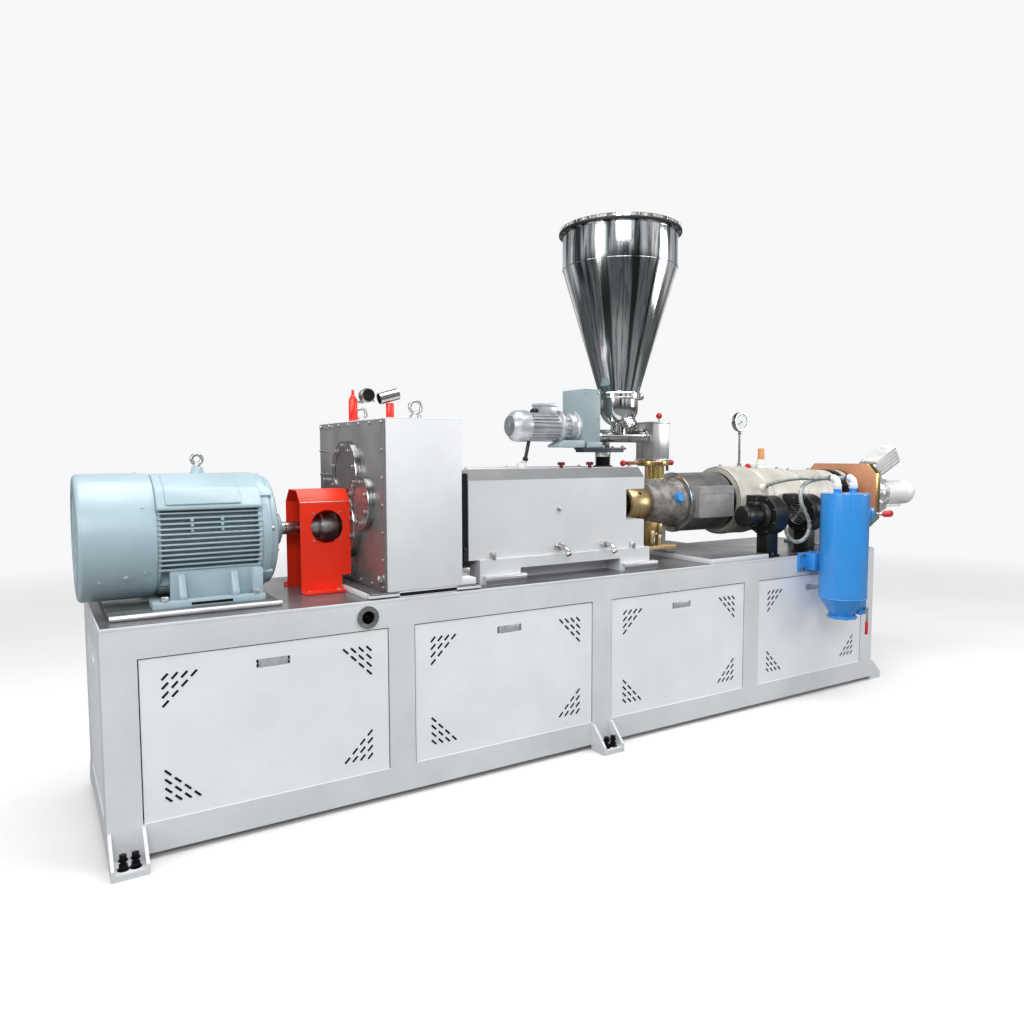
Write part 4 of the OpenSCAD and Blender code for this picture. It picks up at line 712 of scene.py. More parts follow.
# Black discs in the ring's radial holes are painted shade.
bm = bmesh.new()
for a in range(40, 400, 90):
    way = (0, -cos(radians(a)), sin(radians(a)))
    rod(bm, on(barrel(2346), way, 80), on(barrel(2346), way, 85.5), 9, sides=24)
build("ring_holes", bm, painted_shade_black)
cast = surface("cast_grey", (0.54, 0.52, 0.51), rough=0.55, metallic=0.3, patches=0.3, size=24, grain=0.9, fine=60)
bm = bmesh.new()
turned(bm, [(0, 0), (98, 0), (103, 6), (109, 70), (113, 150), (118, 184), (128, 198), (95, 198), (95, 1520), (130, 1520),
            (130, 1550), (0, 1550)], barrel(2412), RIGHT, soft=4, steps=96)
rod(bm, throat(300), throat(392), 66, soft=4, sides=64)
build("barrel_casting", bm, cast, ["barrel"])
bm = bmesh.new()
turned(bm, [(110, 0), (148, 0), (151, 3), (151, 13), (148, 16), (110, 16)], barrel(2608), RIGHT, soft=1, steps=96)
build("neck_flange", bm, machined)
bm = bmesh.new()
rod(bm, (2561, 250, 299), (2561, 235, 303.5), 27, tip=24, soft=4, sides=6)
rod(bm, (2561, 252, 298.5), (2561, 246, 300), 29, soft=1)
build("blue_plug", bm, surface("plug_blue", (0.22, 0.55, 0.82), rough=0.35, patches=0.08, size=40))
bm = bmesh.new()
for p in circle(barrel(3932), 114, 10, first=0.3):
    bolt(bm, p, LEFT, 14)
build("barrel_bolts", bm, black_bolts)
# The foot plate takes a darker copy of the brass as painted shade; its clamps keep the bright brass.
bm = bmesh.new()
prism(bm, [(2344, 66), (2344, 186), (2366, 192), (2452, 178), (2452, 150), (2412, 128), (2404, 66)], "y", 254, 290)
block(bm, 2352, 243, 59.4, 200, 60, 7, soft=1)
build("neck_foot", bm, surface("shaded_brass", (0.47, 0.39, 0.24), rough=0.4, metallic=0.6, patches=0.3, size=14, grain=0.2,
                               fine=40), ["neck_bracket"])
bm = bmesh.new()
block(bm, 2428, 246, 138, 24, 10, 40, soft=2)
block(bm, 2376, 246, 84, 24, 10, 62, soft=2)
block(bm, 2424, 246, 69, 22, 24, 56, soft=2)
build("foot_clamps", bm, brass)
bm = bmesh.new()
block(bm, 2332, 240.5, 53.5, 209, 63, 16, soft=2)
build("wooden_bar", bm, surface("bare_wood", (0.78, 0.66, 0.47), rough=0.6, patches=0.3, size=9, stretch=(0.6, 14, 14), grain=0.3,
                                fine=30))

# Heaters
# The first zone is a grey casting with a flat terminal box on its front; the other zones are clad in cream painted
# sheet with clamping bands, seams and hexagon screws.
bare_casting = surface("heater_casting", (0.50, 0.495, 0.49), rough=0.36, metallic=0.6, patches=0.2, size=7, grain=0.3, fine=90)
bm = bmesh.new()
turned(bm, [(95, 0), (143, 0), (148, 5), (150, 276), (145, 282), (95, 282)], barrel(2625), RIGHT, soft=1.5, steps=96)
build("heater_casting", bm, bare_casting, ["heater_zone_1"])
bm = bmesh.new()
block(bm, 2632, 184.5, 200, 240, 71, 154, soft=3)
for x, up, l, h in ((2632, 200, 240, 62), (2632, 318, 240, 36), (2632, 262, 14, 56), (2858, 262, 14, 56)):
    block(bm, x, 181, up, l, 5, h, soft=0)
for x in (2640, 2864):
    for up in (208, 346):
        screw(bm, (x, 181, up), FRONT, 4)
build("terminal_box", bm, surface("terminal_grey", (0.60, 0.595, 0.59), rough=0.42, metallic=0.3, patches=0.1, size=9,
                                  grain=0.15, fine=60))
clad = surface("cream_cladding", (0.75, 0.735, 0.695), rough=0.36, metallic=0.1, patches=0.1, size=5, grain=0.12, fine=40)
bm = bmesh.new()
turned(bm, [(95, 0), (170, 0), (178, 8), (178, 192), (170, 200), (95, 200)], barrel(2922), RIGHT, soft=2, steps=96)
turned(bm, [(95, 0), (164, 0), (172, 8), (158, 302), (150, 310), (95, 310)], barrel(3132), RIGHT, soft=2, steps=96)
turned(bm, [(95, 0), (144, 0), (152, 8), (150, 462), (142, 470), (95, 470)], barrel(3452), RIGHT, soft=2, steps=96)
for x, r in ((2948, 178), (3084, 178), (3186, 170), (3392, 160), (3486, 152), (3660, 151.5)):
    turned(bm, [(r - 3, 0), (r + 2, 0), (r + 2, 16), (r - 3, 16)], barrel(x), RIGHT, soft=1, steps=96)
build("clad_zones", bm, clad, ["rear_heaters"])
bm = bmesh.new()
for x, r, w in ((2909, 146, 12), (2923, 171, 7), (3782, 151, 66), (3902, 149, 18)):
    turned(bm, [(r - 6, 0), (r + 2.5, 0), (r + 2.5, w), (r - 6, w)], barrel(x), RIGHT, soft=1, steps=96)
block(bm, 3790, 176, 262, 92, 40, 74, soft=4)
build("dark_bands", bm, black_bolts)
bm = bmesh.new()
for x, r in ((2956, 178), (3092, 178), (3194, 170), (3400, 160), (3494, 152), (3668, 151.5)):
    for up in (0, 26):
        block(bm, x - 7, 358 - r - 7, 270 - 40 + up, 14, 12, 10, soft=1.5)
    bolt(bm, (x, 358 - r + 1, 270 - 22), FRONT, 11)
    bolt(bm, (x, 358, 270 + r + 1), UP, 11)
build("band_screws", bm, zinc)
bm = bmesh.new()
block(bm, 2536, 340, 24, 24, 40, 136, soft=3)
block(bm, 2534, 310, 24, 60, 96, 10, soft=3)
block(bm, 3610, 248, 0, 80, 220, 12, soft=3)
block(bm, 3620, 268, 10, 60, 180, 112, soft=3)
build("stand_posts", bm, surface("stand_paint", (0.62, 0.62, 0.62), rough=0.42, patches=0.08, size=6, grain=0.2, fine=50),
      ["barrel_stands"])

# Cooling blowers
# Two small centrifugal blowers of black painted sheet that blow on the heaters, each with a ribbed motor with its fan cover.
# The second is the mirror of the first and shows its inlet with a wire finger guard.
black = surface("blower_black", (0.085, 0.09, 0.095), rough=0.38, patches=0.25, size=12, grain=0.08, fine=80, coat=0.08)
shell, wires, bits = bmesh.new(), bmesh.new(), bmesh.new()
for x, side in ((2960, 1), (3245, -1)):
    axle, reach = (x, 80, 206), 180 if side == 1 else 186
    turned(shell, [(0, 0), (92, 0), (98, 4), (98, 10), (96, 12), (96, 80), (98, 82), (98, 88), (92, 92), (0, 92)], axle, RIGHT,
           soft=1, steps=72)
    block(shell, x + 3, 80, 246, 86, reach - 80, 56, soft=2)
    block(shell, x, reach - 13, 244, 92, 12, 60, soft=1.5)
    block(shell, x + 8, 44, 8, 76, 72, 112, soft=3)
    block(shell, x + 2, 36, 0, 88, 88, 10, soft=2)
    near, far = (x, x - 146) if side == 1 else (x + 92, x + 238)
    profile = [(66, 0), (66, 10), (56, 16), (46, 20), (46, 96), (52, 98), (52, 138), (44, 146), (0, 146)]
    turned(shell, profile, (near, 80, 206), (far - near, 0, 0), soft=1.5, steps=56)
    for a in range(0, 360, 15):
        block(shell, min(near, far) + (50 if side == 1 else 20), 78.6, 206 + 40, 76, 2.8, 11.5, soft=0.8,
              turned_by=spun(axle, RIGHT, a))
    block(shell, min(near, far) + (62 if side == 1 else 34), 56, 250, 50, 48, 26, soft=3)
    for i in range(4):
        block(shell, far + (-0.6 if side == 1 else -2), 80 - 26, 206 - 24 + 14 * i, 2.6, 52, 4, soft=0.8)
    face, out = (x + 92, 1) if side == 1 else (x, -1)
    turned(shell, [(48, 4), (48, 0), (63, 0), (63, 9), (58, 9), (58, 2)], (face, 80, 206), (out, 0, 0), soft=0.8, steps=48)
    for r in (8, 20, 32, 44, 56):
        ring(wires, on((face, 80, 206), (out, 0, 0), 6.5), (out, 0, 0), r, 1.6, steps=32)
    for a in (38, 128):
        block(wires, face + out * 6 - 1.2, 20, 204, 2.4, 120, 4, soft=0.8, turned_by=spun((face, 80, 206), RIGHT, a))
    for side_x, way in ((x, LEFT), (x + 92, RIGHT)):
        for p in circle((side_x, 80, 206), 86, 8):
            screw(bits, p, way, 3.6)
    for dy in (44, 116):
        bolt(bits, (x + 46, dy + (4 if dy < 80 else -4), 10), UP, 10)
build("blower_shells", shell, black, ["cooling_blowers"])
build("finger_guards", wires, zinc)
build("blower_screws", bits, zinc)

# Vent tower, valve and pressure gauge
# A white painted riser with an orange cap stands over the vent, with a small red-knobbed valve beside it.
# The gauge has a steel case on a thin stem and a printed dial behind glass.
white_pipe = surface("white_fitting", (0.88, 0.88, 0.86), rough=0.35, patches=0.08, size=14, grain=0.1, fine=60)
cover(white_pipe, "hose_socket")
bm = bmesh.new()
turned(bm, [(30, 0), (30, 76), (25, 80), (25, 98), (22, 102), (22, 118), (0, 118)], (3271.5, 358, 366), UP, soft=1.5,
       steps=48)
turned(bm, [(36, 0), (36, 6), (30, 10)], (3271.5, 358, 434), UP, soft=1, steps=48)
way = Vector((0, -cos(radians(22)), sin(radians(22))))
root = on(barrel(3098), way, 100)
turned(bm, [(0, 77), (22, 77), (22, 84), (17, 88), (13, 90), (13, 99.6), (0, 99.6)], root, way, soft=1, steps=36)
build("vent_tower", bm, white_pipe, ["vent_port"])
bm = bmesh.new()
turned(bm, [(0, 0), (17, 0), (18, 3), (17, 54), (13, 62), (0, 62)], (3271.5, 358, 484), UP, soft=1.5, steps=40)
build("vent_cap", bm, surface("cap_orange", (0.88, 0.62, 0.40), rough=0.4, patches=0.1, size=30))
bm = bmesh.new()
rod(bm, (3178, 340, 426), (3178, 340, 452), 8, soft=2)
rod(bm, (3156, 340, 444), (3214, 340, 440), 9, soft=2)
build("valve_body", bm, zinc)
bm = bmesh.new()
rod(bm, (3138, 340, 446), (3158, 340, 444), 16, soft=6)
knob_red = surface("knob_red", (0.80, 0.11, 0.14), rough=0.28, patches=0.1, size=40, coat=0.3)
build("valve_knob", bm, knob_red)
gauge = (3100, 343, 684)
bm = bmesh.new()
rod(bm, (3100, 358, 448), (3100, 358, 636), 6, sides=24)
bolt(bm, (3100, 358, 448), UP, 20)
bolt(bm, (3100, 358, 616), UP, 15, tall=0.9)
turned(bm, [(0, 29), (48, 29), (51, 26), (51, 2), (49, 0), (44, 0), (44, 5), (0, 5)], gauge, BACK, soft=0.8,
       steps=56)
build("gauge_case", bm, stainless, ["pressure_gauge"])
bm = bmesh.new()
rod(bm, (3100, 346.5, 684), (3100, 348.5, 684), 44, sides=48)
build("gauge_dial", bm, surface("dial_grey", (0.60, 0.62, 0.64), rough=0.25, patches=0.04, size=30, coat=1.0))
bm = bmesh.new()
for i in range(11):
    block(bm, 3099.5, 345.9, 684 + 33, 1.0 if i % 2 else 1.8, 0.8, 6, soft=0,
          turned_by=spun(gauge, BACK, 27 * i - 135))
block(bm, 3099, 345.4, 676, 2, 0.8, 38, soft=0, turned_by=spun(gauge, BACK, -118))
rod(bm, (3100, 345, 684), (3100, 347, 684), 3.5, sides=16)
build("gauge_marks", bm, black_bolts)


# Feed throat and duct
# A fluted throat and a round flange with yellow-iridescent zinc plating, held by two swing clamps with red ball knobs.
# A square stainless duct stands on it and takes the feed screw's tube.
def plated(name):
    """Yellow chromate plating that shifts to pink and green in upright streaks"""
    skin = surface(name, (0.78, 0.72, 0.5), rough=0.22, metallic=1, patches=0.2, size=22, stretch=(1, 1, 0.12))
    ramp = [part for part in skin.node_tree.nodes if part.type == "VALTORGB"][0].color_ramp
    stops(ramp, (0.3, (0.80, 0.70, 0.36)), (0.7, (0.86, 0.80, 0.56)), (0.45, (0.62, 0.66, 0.40)), (0.52, (0.88, 0.80, 0.50)),
          (0.6, (0.80, 0.58, 0.56)))
    return skin


bm = bmesh.new()
outline = []
for i in range(18):
    for a, r in ((-7, 48), (-3.4, 45.5), (0, 43), (3.4, 45.5), (7, 48)):
        t = radians(20 * i + a)
        outline.append((2496 + r * cos(t), 358 + r * sin(t)))
prism(bm, outline, "z", 392, 456, soft=0)
turned(bm, [(0, 0), (74, 0), (78, 4), (78, 23), (75, 27), (0, 27)], (2486, 358, 455), UP, soft=1, steps=72)
turned(bm, [(0, 0), (50, 0), (50, 7), (46, 9), (0, 9)], (2496, 358, 388), UP, soft=1, steps=48)
build("plated_throat", bm, plated("yellow_zinc"), ["feed_throat"])
arms, knobs = bmesh.new(), bmesh.new()
ball = [(15 * sin(radians(a)), -15 * cos(radians(a))) for a in range(0, 181, 15)]
for turn_by in (180, 18):
    swing = spun(throat(470), UP, turn_by)
    block(arms, 2482 + 72, 347, 462, 98, 22, 17, soft=5, turned_by=swing)
    reach = (cos(radians(turn_by)), sin(radians(turn_by)), 0)
    rod(arms, on(throat(428), reach, 150), on(throat(470), reach, 150), 7, soft=1)
    rod(arms, on(throat(470), reach, 160), on(throat(470), reach, 178), 6)
    turned(knobs, ball, on(throat(470), reach, 188), UP, steps=32)
turned(knobs, ball, (2482, 313, 700), UP, steps=32)
build("clamp_arms", arms, surface("clamp_brown", (0.60, 0.40, 0.30), rough=0.35, metallic=0.5, patches=0.2, size=30))
build("ball_knobs", knobs, knob_red)
bm = bmesh.new()
block(bm, 2429, 295, 482, 106, 126, 188, soft=3)
block(bm, 2425, 291, 482, 114, 134, 7, soft=1.5)
block(bm, 2427, 293, 662, 110, 130, 9, soft=2)
rod(bm, (2482, 313, 670), (2482, 313, 688), 5)
for x in (2437, 2527):
    for y in (301, 415):
        bolt(bm, (x, y, 489), UP, 9)
satin_steel = surface("satin_stainless", (0.77, 0.77, 0.76), rough=0.3, metallic=0.85, patches=0.14, size=8, stretch=(6, 6, 0.5),
                      grain=0.1, fine=60)
build("feed_duct_box", bm, satin_steel, ["feed_duct"])


# Hopper and bowl
# A mirror-polished stainless cone and cylinder with a weld seam, its lid sealed by a black gasket and held by small clips.
# A clamp band joins it to the round bowl, which is welded on the feed screw's tube and has a ribbed clean-out cap.
def hopper(up):
    """A point on the upright axis of the hopper and the bowl"""
    return 2265, 358, up


mirror = surface("mirror_stainless", (0.86, 0.86, 0.86), rough=0.085, metallic=1, patches=0.22, size=7, stretch=(1.4, 1.4, 0.16),
                 grain=0.05, fine=9)
# Painted reflections: the hopper's base colour takes dark, bluish and white upright bands by bearing round its axis.
reflection_banded = surface("stainless_painted_reflections", (0.86, 0.86, 0.86), rough=0.12, metallic=1, size=4.2)
tree = reflection_banded.node_tree
kinds = {part.type: part for part in tree.nodes}
lie = kinds["MAPPING"]
lie.inputs["Location"].default_value = (0.035, -0.097, 0)
apart = node(tree, "SeparateXYZ", {"Vector": lie.outputs["Vector"]})
bearing = node(tree, "Math", {0: apart.outputs["X"], 1: apart.outputs["Y"]}, operation="ARCTAN2")
slow = node(tree, "Math", {0: apart.outputs["Z"]}, {1: 0.22}, operation="MULTIPLY")
around = node(tree, "CombineXYZ", {"X": bearing.outputs["Value"], "Y": slow.outputs["Value"]})
tree.links.new(around.outputs["Vector"], kinds["TEX_NOISE"].inputs["Vector"])
stops(kinds["VALTORGB"].color_ramp, (0.40, (0.34, 0.36, 0.35)), (0.66, (0.97, 0.97, 0.97)), (0.445, (0.42, 0.44, 0.43)),
      (0.47, (0.72, 0.75, 0.79)), (0.52, (0.80, 0.81, 0.82)), (0.55, (0.97, 0.97, 0.97)), (0.58, (0.62, 0.63, 0.64)))
bm = bmesh.new()
turned(bm, [(96, -15), (270, 562), (270, 716), (284, 719), (284, 727), (266, 727), (266, 562), (92, -15), (96, -15)],
       hopper(820), UP, steps=128)
ring(bm, hopper(1382), UP, 269.5, 2.2, steps=128)
build("hopper_skin", bm, reflection_banded, ["hopper_shell"], sharp=30)
bm = bmesh.new()
turned(bm, [(278, -8), (285, -8), (288, -5), (288, 3), (285, 6), (0, 6), (0, 0.2), (284.5, 0.2), (284.5, -8), (278, -8)],
       hopper(1547), UP, steps=128)
build("hopper_gasket", bm, surface("gasket_rubber", (0.06, 0.06, 0.06), rough=0.55, patches=0.2, size=30))
bm = bmesh.new()
turned(bm, [(0, 24), (120, 23), (255, 19), (280, 16), (284, 13), (284, 1), (282, 0), (0, 0)], hopper(1553), UP,
       steps=128)
build("hopper_cover", bm, mirror, ["hopper_lid"], sharp=30)
bm = bmesh.new()
for i in range(48):
    block(bm, 2265 + 279, 355, 1553.5, 7, 6, 13, soft=1, turned_by=spun(hopper(1553), UP, 7.5 * i))
build("rim_clips", bm, zinc)
bm = bmesh.new()
dome = [(92 * cos(radians(a)), 92 * sin(radians(a))) for a in range(-90, 1, 10)]
turned(bm, dome + [(92, 36), (104, 37), (106, 40), (106, 66), (104, 69), (96, 69)], hopper(736), UP, steps=72)
rod(bm, hopper(606), hopper(660), 38, sides=48)
ring(bm, hopper(798), UP, 104, 3, steps=72)
ring(bm, hopper(780), UP, 104, 3, steps=72)
block(bm, 2368, 336, 776, 34, 44, 26, soft=3)
rod(bm, (2386, 322, 789), (2386, 400, 789), 6, soft=1)
bolt(bm, (2386, 324, 789), FRONT, 14)
rod(bm, (2110, 358, 600), (2429, 358, 600), 30, sides=48)
for x, r in ((2110, 46), (2122, 40), (2414, 38)):
    rod(bm, (x, 358, 600), (x + 11, 358, 600), r, soft=1.5, sides=48)
cap_way = (0.05, -0.68, -0.73)
rod(bm, on(hopper(736), cap_way, 60), on(hopper(736), cap_way, 140), 29, soft=2, sides=40)
for d in range(96, 130, 11):
    rod(bm, on(hopper(736), cap_way, d), on(hopper(736), cap_way, d + 6), 34, soft=1.5, sides=40)
build("bowl_and_tube", bm, mirror, ["feed_bowl"], sharp=30)

# Feeder stand, chain case and feeder motor
# A dark plate on a bellows-covered post carries the feeder; the chain case is folded sheet with a screwed cover.
# The aluminium motor drives a round worm reducer flanged on the case, and a thin strut props it from the box.
stand_dark = surface("stand_dark", (0.23, 0.26, 0.29), rough=0.3, patches=0.12, size=8, coat=0.2)
bm = bmesh.new()
block(bm, 2012, 282, 535, 239, 92, 10, soft=2)
block(bm, 2148, 328, 545, 40, 46, 26, soft=2)
for y in (290, 354):
    block(bm, 2016, y, 523, 226, 14, 13, soft=2)
build("stand_plate", bm, stand_dark, ["feeder_stand"])
bm = bmesh.new()
turned(bm, [(30, 0)] + [(38 if i % 2 else 31, 3 + 4.4 * i) for i in range(11)] + [(30, 50)], (2148, 330, 455), UP, steps=48)
turned(bm, [(46, 0), (46, 5), (38, 7), (0, 7)], (2148, 330, 455), UP, soft=1, steps=48)
build("post_bellows", bm, surface("bellows_rubber", (0.07, 0.07, 0.075), rough=0.5, patches=0.2, size=30))
bm = bmesh.new()
rod(bm, (2148, 330, 502), (2148, 330, 536), 36, soft=2, sides=48)
build("post_sleeve", bm, satin_steel)
bm = bmesh.new()
for x in (2030, 2120, 2234):
    for y in (290, 364):
        bolt(bm, (x, y, 545), UP, 12)
for x, up in ((2024, 560), (2096, 560), (2024, 680), (2096, 680), (2024, 796), (2096, 796)):
    screw(bm, (x, 298, up), FRONT, 4)
    screw(bm, (x, 467, up), BACK, 4)
build("feeder_screws", bm, zinc)
case_paint = surface("case_paint", (0.57, 0.635, 0.655), rough=0.36, patches=0.06, size=4, grain=0.08, fine=50)
bm = bmesh.new()
block(bm, 2010, 300, 545, 100, 165, 267, soft=4)
block(bm, 2014, 298, 551, 92, 3, 255, soft=1)
block(bm, 2014, 464, 551, 92, 3, 255, soft=1)
block(bm, 2012, 300, 806, 98, 165, 6, soft=2)
block(bm, 2026, 284, 545, 84, 16, 26, soft=2)
prism(bm, [(1869, 545), (1869, 556), (1916, 578), (2012, 578), (2012, 545)], "y", 292, 384)
build("case_sheet", bm, case_paint, ["chain_case"])
alloy = surface("motor_alloy", (0.74, 0.75, 0.765), rough=0.32, metallic=0.5, patches=0.14, size=14, grain=0.2, fine=80, coat=0.2)
bm = bmesh.new()
motor_face = (1663, 380, 640)
turned(bm, [(0, 0), (44, 0), (66, 22), (70, 34), (70, 84), (60, 86), (58, 92), (58, 246), (74, 252), (74, 264), (50, 268),
            (46, 280), (48, 300), (62, 306), (64, 330), (76, 335), (76, 347), (0, 347)], motor_face, RIGHT, soft=1.5,
       steps=56)
for a in range(0, 360, 15):
    if not 70 < a < 110:
        block(bm, 1742, 378.6, 640 + 52, 156, 2.8, 16, soft=0.8, turned_by=spun(motor_face, RIGHT, a - 90))
for a in range(0, 360, 45):
    block(bm, 1930, 377, 640 + 30, 66, 6, 28, soft=2, turned_by=spun(motor_face, RIGHT, a + 10))
block(bm, 1808, 344, 688, 88, 70, 54, soft=4)
block(bm, 1804, 340, 728, 96, 78, 15, soft=4)
build("feeder_motor_body", bm, alloy, ["feeder_motor"])
bm = bmesh.new()
for p in circle((1998, 380, 640), 66, 8):
    bolt(bm, p, LEFT, 9)
for x in (1815, 1889):
    for y in (348, 410):
        screw(bm, (x, y, 743), UP, 3)
build("feeder_motor_screws", bm, zinc)
bm = bmesh.new()
for r in (10, 18, 26, 34, 42):
    turned(bm, [(r, 0), (r, -0.8), (r + 2.2, -0.8), (r + 2.2, 0)], motor_face, RIGHT, steps=32)
rod(bm, (1784, 380, 706), (1810, 380, 706), 15, soft=2)
rod(bm, (1776, 380, 706), (1786, 380, 706), 10, soft=2)
rod(bm, (1742, 380, 474), (1768, 380, 586), 8, sides=20)
rod(bm, (1745, 380, 486), (1748, 380, 499), 14, soft=1, sides=6)
build("strut_rod", bm, black, ["motor_strut"])
bm = bmesh.new()
rod(bm, (1727, 380, 455), (1727, 380, 477), 24, tip=20, soft=3)
rod(bm, (1736, 380, 476), (1738, 380, 484), 13, soft=1, sides=6)
build("strut_foot", bm, white_pipe)


# Vacuum pot
# A rolled and welded pot in glossy blue paint, hung on the frame by a bolted bracket. White elbows on its two stubs take
# the hoses; a ball valve sits on the side outlet and another drains the cone, each with a red-sleeved lever.
def pot(up):
    """A point on the vacuum pot's upright axis"""
    return 3290, -156, up


pot_paint = surface("pot_blue", (0.22, 0.56, 0.87), rough=0.2, patches=0.05, size=4, grain=0.06, fine=30, coat=0.5)
elbows = (3226, 3354)
bm = bmesh.new()
turned(bm, [(0, 0), (70, 0), (72, 2), (72, 10), (70, 12), (56, 12), (56, 14), (114, 104), (114, 618), (111, 624),
            (106, 625), (0, 625)],
       pot(-306), UP, soft=1.2, steps=96)
ring(bm, pot(-202), UP, 113.5, 2.2, steps=96)
ring(bm, pot(316), UP, 112, 2.5, steps=96)
for x in elbows:
    rod(bm, (x, -156, 318), (x, -156, 347), 17, soft=1, sides=40)
    ring(bm, (x, -156, 320), UP, 17, 2.4, steps=40)
block(bm, 3400, -190, 171, 60, 68, 68, soft=2)
block(bm, 3412, -200, 161, 12, 88, 88, soft=2)
block(bm, 3452, -190, 171, 36, 68, 68, soft=2)
for i in range(8):
    a = 2 * pi * (i + 0.25) / 8
    rod(bm, (3290 + 66 * cos(a), -156 + 66 * sin(a), -309), (3290 + 66 * cos(a), -156 + 66 * sin(a), -290), 4, sides=6)
prism(bm, [(3330, -286), (3380, -286), (3380, -216), (3372, -208), (3346, -214)], "y", -230, -194, soft=3)
build("pot_shell", bm, pot_paint, ["vacuum_pot"])
bm = bmesh.new()
block(bm, 3138, -14, -80, 300, 14, 94, soft=2)
block(bm, 3200, -58, -76, 180, 46, 86, soft=2)
build("bracket_plates", bm, pot_paint, ["pot_bracket"])
bm = bmesh.new()
for x in elbows:
    rod(bm, (x, -156, 340), (x, -156, 366), 21, soft=2, sides=40)
    pipe(bm, [(x, -156, 362), (x, -155.5, 376), (x, -148.5, 385), (x, -139, 390.5), (x, -130, 391)], 17)
    rod(bm, (x, -142, 391), (x, -129.8, 391), 20, soft=2, sides=40)
build("white_elbows", bm, white_pipe)
bm = bmesh.new()
for x in elbows:
    turned(bm, [(10, 0), (12, 0), (12, 12), (10, 12)], (x, -122, 391), BACK, soft=0.6, steps=32)
    block(bm, x - 5, -122, 401, 10, 12, 7, soft=1)
turned(bm, [(10, 0), (12, 0), (12, 12), (10, 12)], (3082, 62, 200), BACK, soft=0.6, steps=32)
block(bm, 3077, 62, 210, 10, 12, 7, soft=1)
turned(bm, [(10, 6), (12.4, 6), (12.4, 18), (10, 18)], vent_end, port_out, soft=0.6, steps=32)
turned(bm, [(0, 0), (20, 0), (20, 12), (15, 15), (15, 30), (12, 32), (0, 32)], (3488, -156, 205), RIGHT, soft=1, steps=6)
rod(bm, (3506, -184, 205), (3506, -156, 205), 8, sides=24)
rod(bm, (3518, -156, 205), (3519.5, -156, 205), 13, soft=0.5, sides=24)
rod(bm, (3358, -240, -254), (3358, -226, -254), 9, sides=24)
rod(bm, (3358, -212, -290), (3358, -212, -268), 14, soft=1.5, sides=6)
for x in (3152, 3172, 3404, 3424):
    for up in (-66, 0):
        bolt(bm, (x, -14, up), FRONT, 13)
build("valve_bodies", bm, surface("chromed_brass", (0.83, 0.82, 0.80), rough=0.14, metallic=1, patches=0.15, size=50))
lever_red = surface("lever_red", (0.80, 0.12, 0.18), rough=0.4, patches=0.08, size=50)
bm = bmesh.new()
rod(bm, (3358, -240.3, -254), (3358, -251.3, -254), 11, soft=1, sides=24)
bolt(bm, (3358, -251, -254), FRONT, 10, tall=0.4)
block(bm, 3350, -251, -326, 16, 3, 70, soft=0.8)
build("drain_lever_arm", bm, zinc, ["drain_lever"], body="drain_valve")
bm = bmesh.new()
block(bm, 3348.5, -253, -384, 19, 8, 66, soft=3)
build("drain_lever_grip", bm, lever_red, body="drain_valve")
bm = bmesh.new()
rod(bm, (3506, -182.3, 205), (3506, -193.3, 205), 11, soft=1, sides=24)
bolt(bm, (3506, -193, 205), FRONT, 10, tall=0.4)
block(bm, 3506, -193, 197, 60, 3, 16, soft=0.8)
build("side_lever_arm", bm, zinc, ["side_lever"], body="side_valve")
bm = bmesh.new()
prism(bm, [(3542, 200), (3566, 189), (3622, 187), (3640, 197), (3640, 213), (3622, 223), (3566, 221), (3542, 210)], "y",
      -195, -187, soft=3)
build("side_lever_grip", bm, lever_red, body="side_valve")

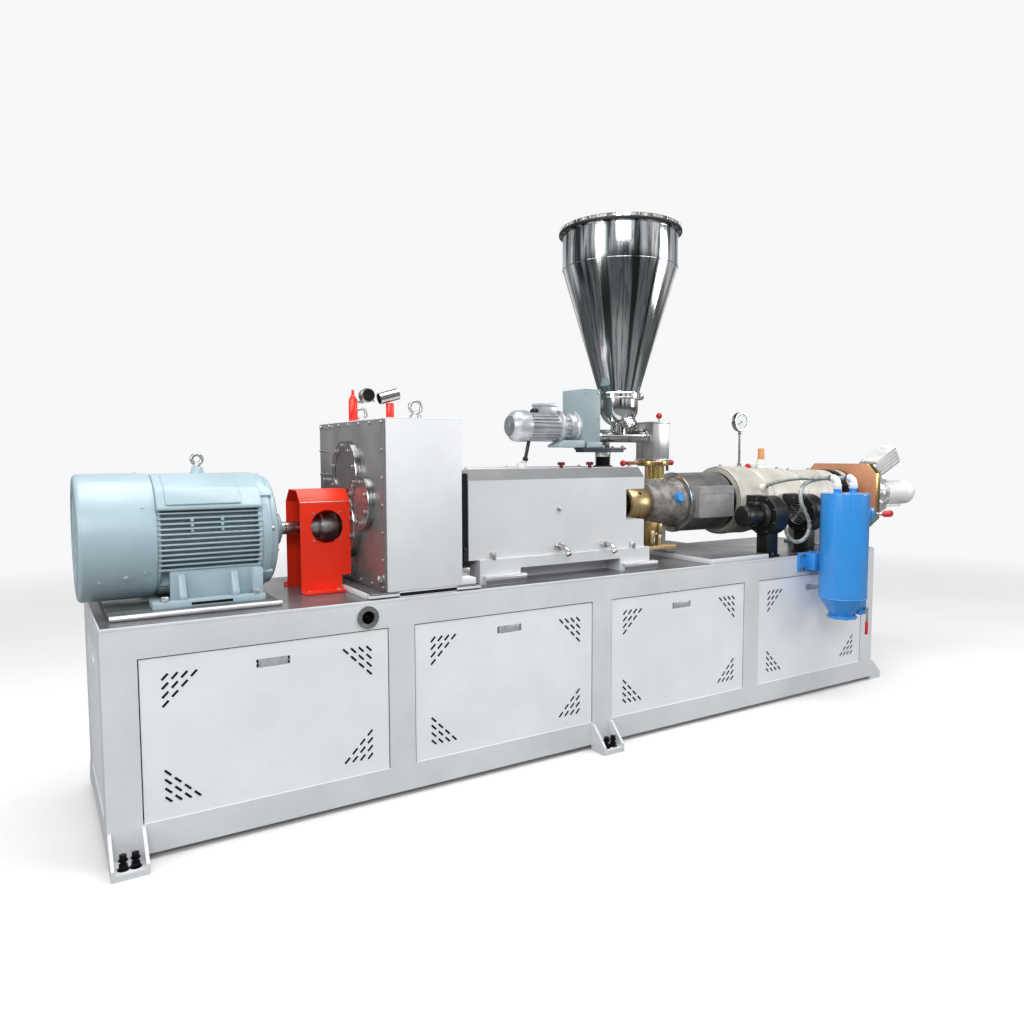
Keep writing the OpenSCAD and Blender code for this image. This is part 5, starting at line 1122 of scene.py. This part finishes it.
# Die head
# An octagonal head plate with a copper-coloured face and yellow-plated edges is bolted on the barrel's end.
# The cutter hood behind it is wrapped in foil, with a ribbed square outlet, and a white motor is flanged on its end.
eight = [(125, 142), (125, 400), (180, 455), (536, 455), (591, 400), (591, 142), (536, 87), (180, 87)]
bm = bmesh.new()
prism(bm, eight, "x", 3967, 4012, soft=3)
build("head_plate_body", bm, plated("gold_zinc"), ["head_plate"])
bm = bmesh.new()
prism(bm, eight, "x", 3962, 3967.5, soft=2)
build("head_plate_face", bm, surface("copper_face", (0.83, 0.58, 0.44), rough=0.34, metallic=0.3, patches=0.12, size=4, coat=0.2))
foil = surface("crumpled_foil", (0.95, 0.945, 0.94), rough=0.3, metallic=0.9, patches=0.1, size=18, grain=0.5, fine=26)
bm = bmesh.new()
turned(bm, [(0, 0), (60, 0), (110, 0)] + [(146, 2 + 11 * i) for i in range(23)] + [(110, 246), (60, 246), (0, 246)],
       barrel(4012), RIGHT, steps=84)
lean = spun((4123, 358, 356), BACK, 65)
made = len(bm.verts)
block(bm, 4123 - 48, 300, 356, 96, 116, 230, soft=0, turned_by=lean)
bm.verts.ensure_lookup_table()
edges = dict.fromkeys(e for v in bm.verts[made:] for e in v.link_edges)
bmesh.ops.subdivide_edges(bm, edges=list(edges), cuts=11, use_grid_fill=True)
bmesh.ops.recalc_face_normals(bm, faces=bm.faces)
bm.normal_update()
for v in bm.verts:
    v.co += v.normal * 0.011 * (noise.noise(v.co * 26) + 0.5 * noise.noise(v.co * 70) - 0.5)
build("foil_hood", bm, foil, ["cutter_hood"], sharp=14)
bm = bmesh.new()
for i in range(5):
    block(bm, 4123 - 50 + 22.5 * i, 298, 356 + 165, 10, 120, 190, soft=2, turned_by=lean)
    block(bm, 4123 - 50, 298 + 27.5 * i, 356 + 165, 100, 10, 190, soft=2, turned_by=lean)
block(bm, 4123 - 38, 310, 356 + 160, 76, 96, 202, soft=3, turned_by=lean)
block(bm, 4123 - 50, 298, 356 + 354, 100, 120, 14, soft=4, turned_by=lean)
block(bm, 4123 - 66, 330, 356 + 320, 20, 50, 44, soft=3, turned_by=lean)
build("ribbed_outlet", bm, surface("outlet_cream", (0.94, 0.94, 0.93), rough=0.35, metallic=0.2, patches=0.1, size=10))
bm = bmesh.new()
turned(bm, [(0, 0), (86, 0), (88, 2), (88, 12), (86, 14), (76, 14), (76, 288), (73, 290), (73, 294), (76, 296), (76, 352),
            (70, 368), (56, 380), (0, 380)], barrel(4258), RIGHT, soft=1.5, steps=72)
block(bm, 4330, 318, 182, 200, 80, 16, soft=4)
build("cutter_motor_shell", bm, surface("cutter_white", (0.95, 0.95, 0.945), rough=0.22, patches=0.04, size=6, coat=0.4),
      ["cutter_motor"])
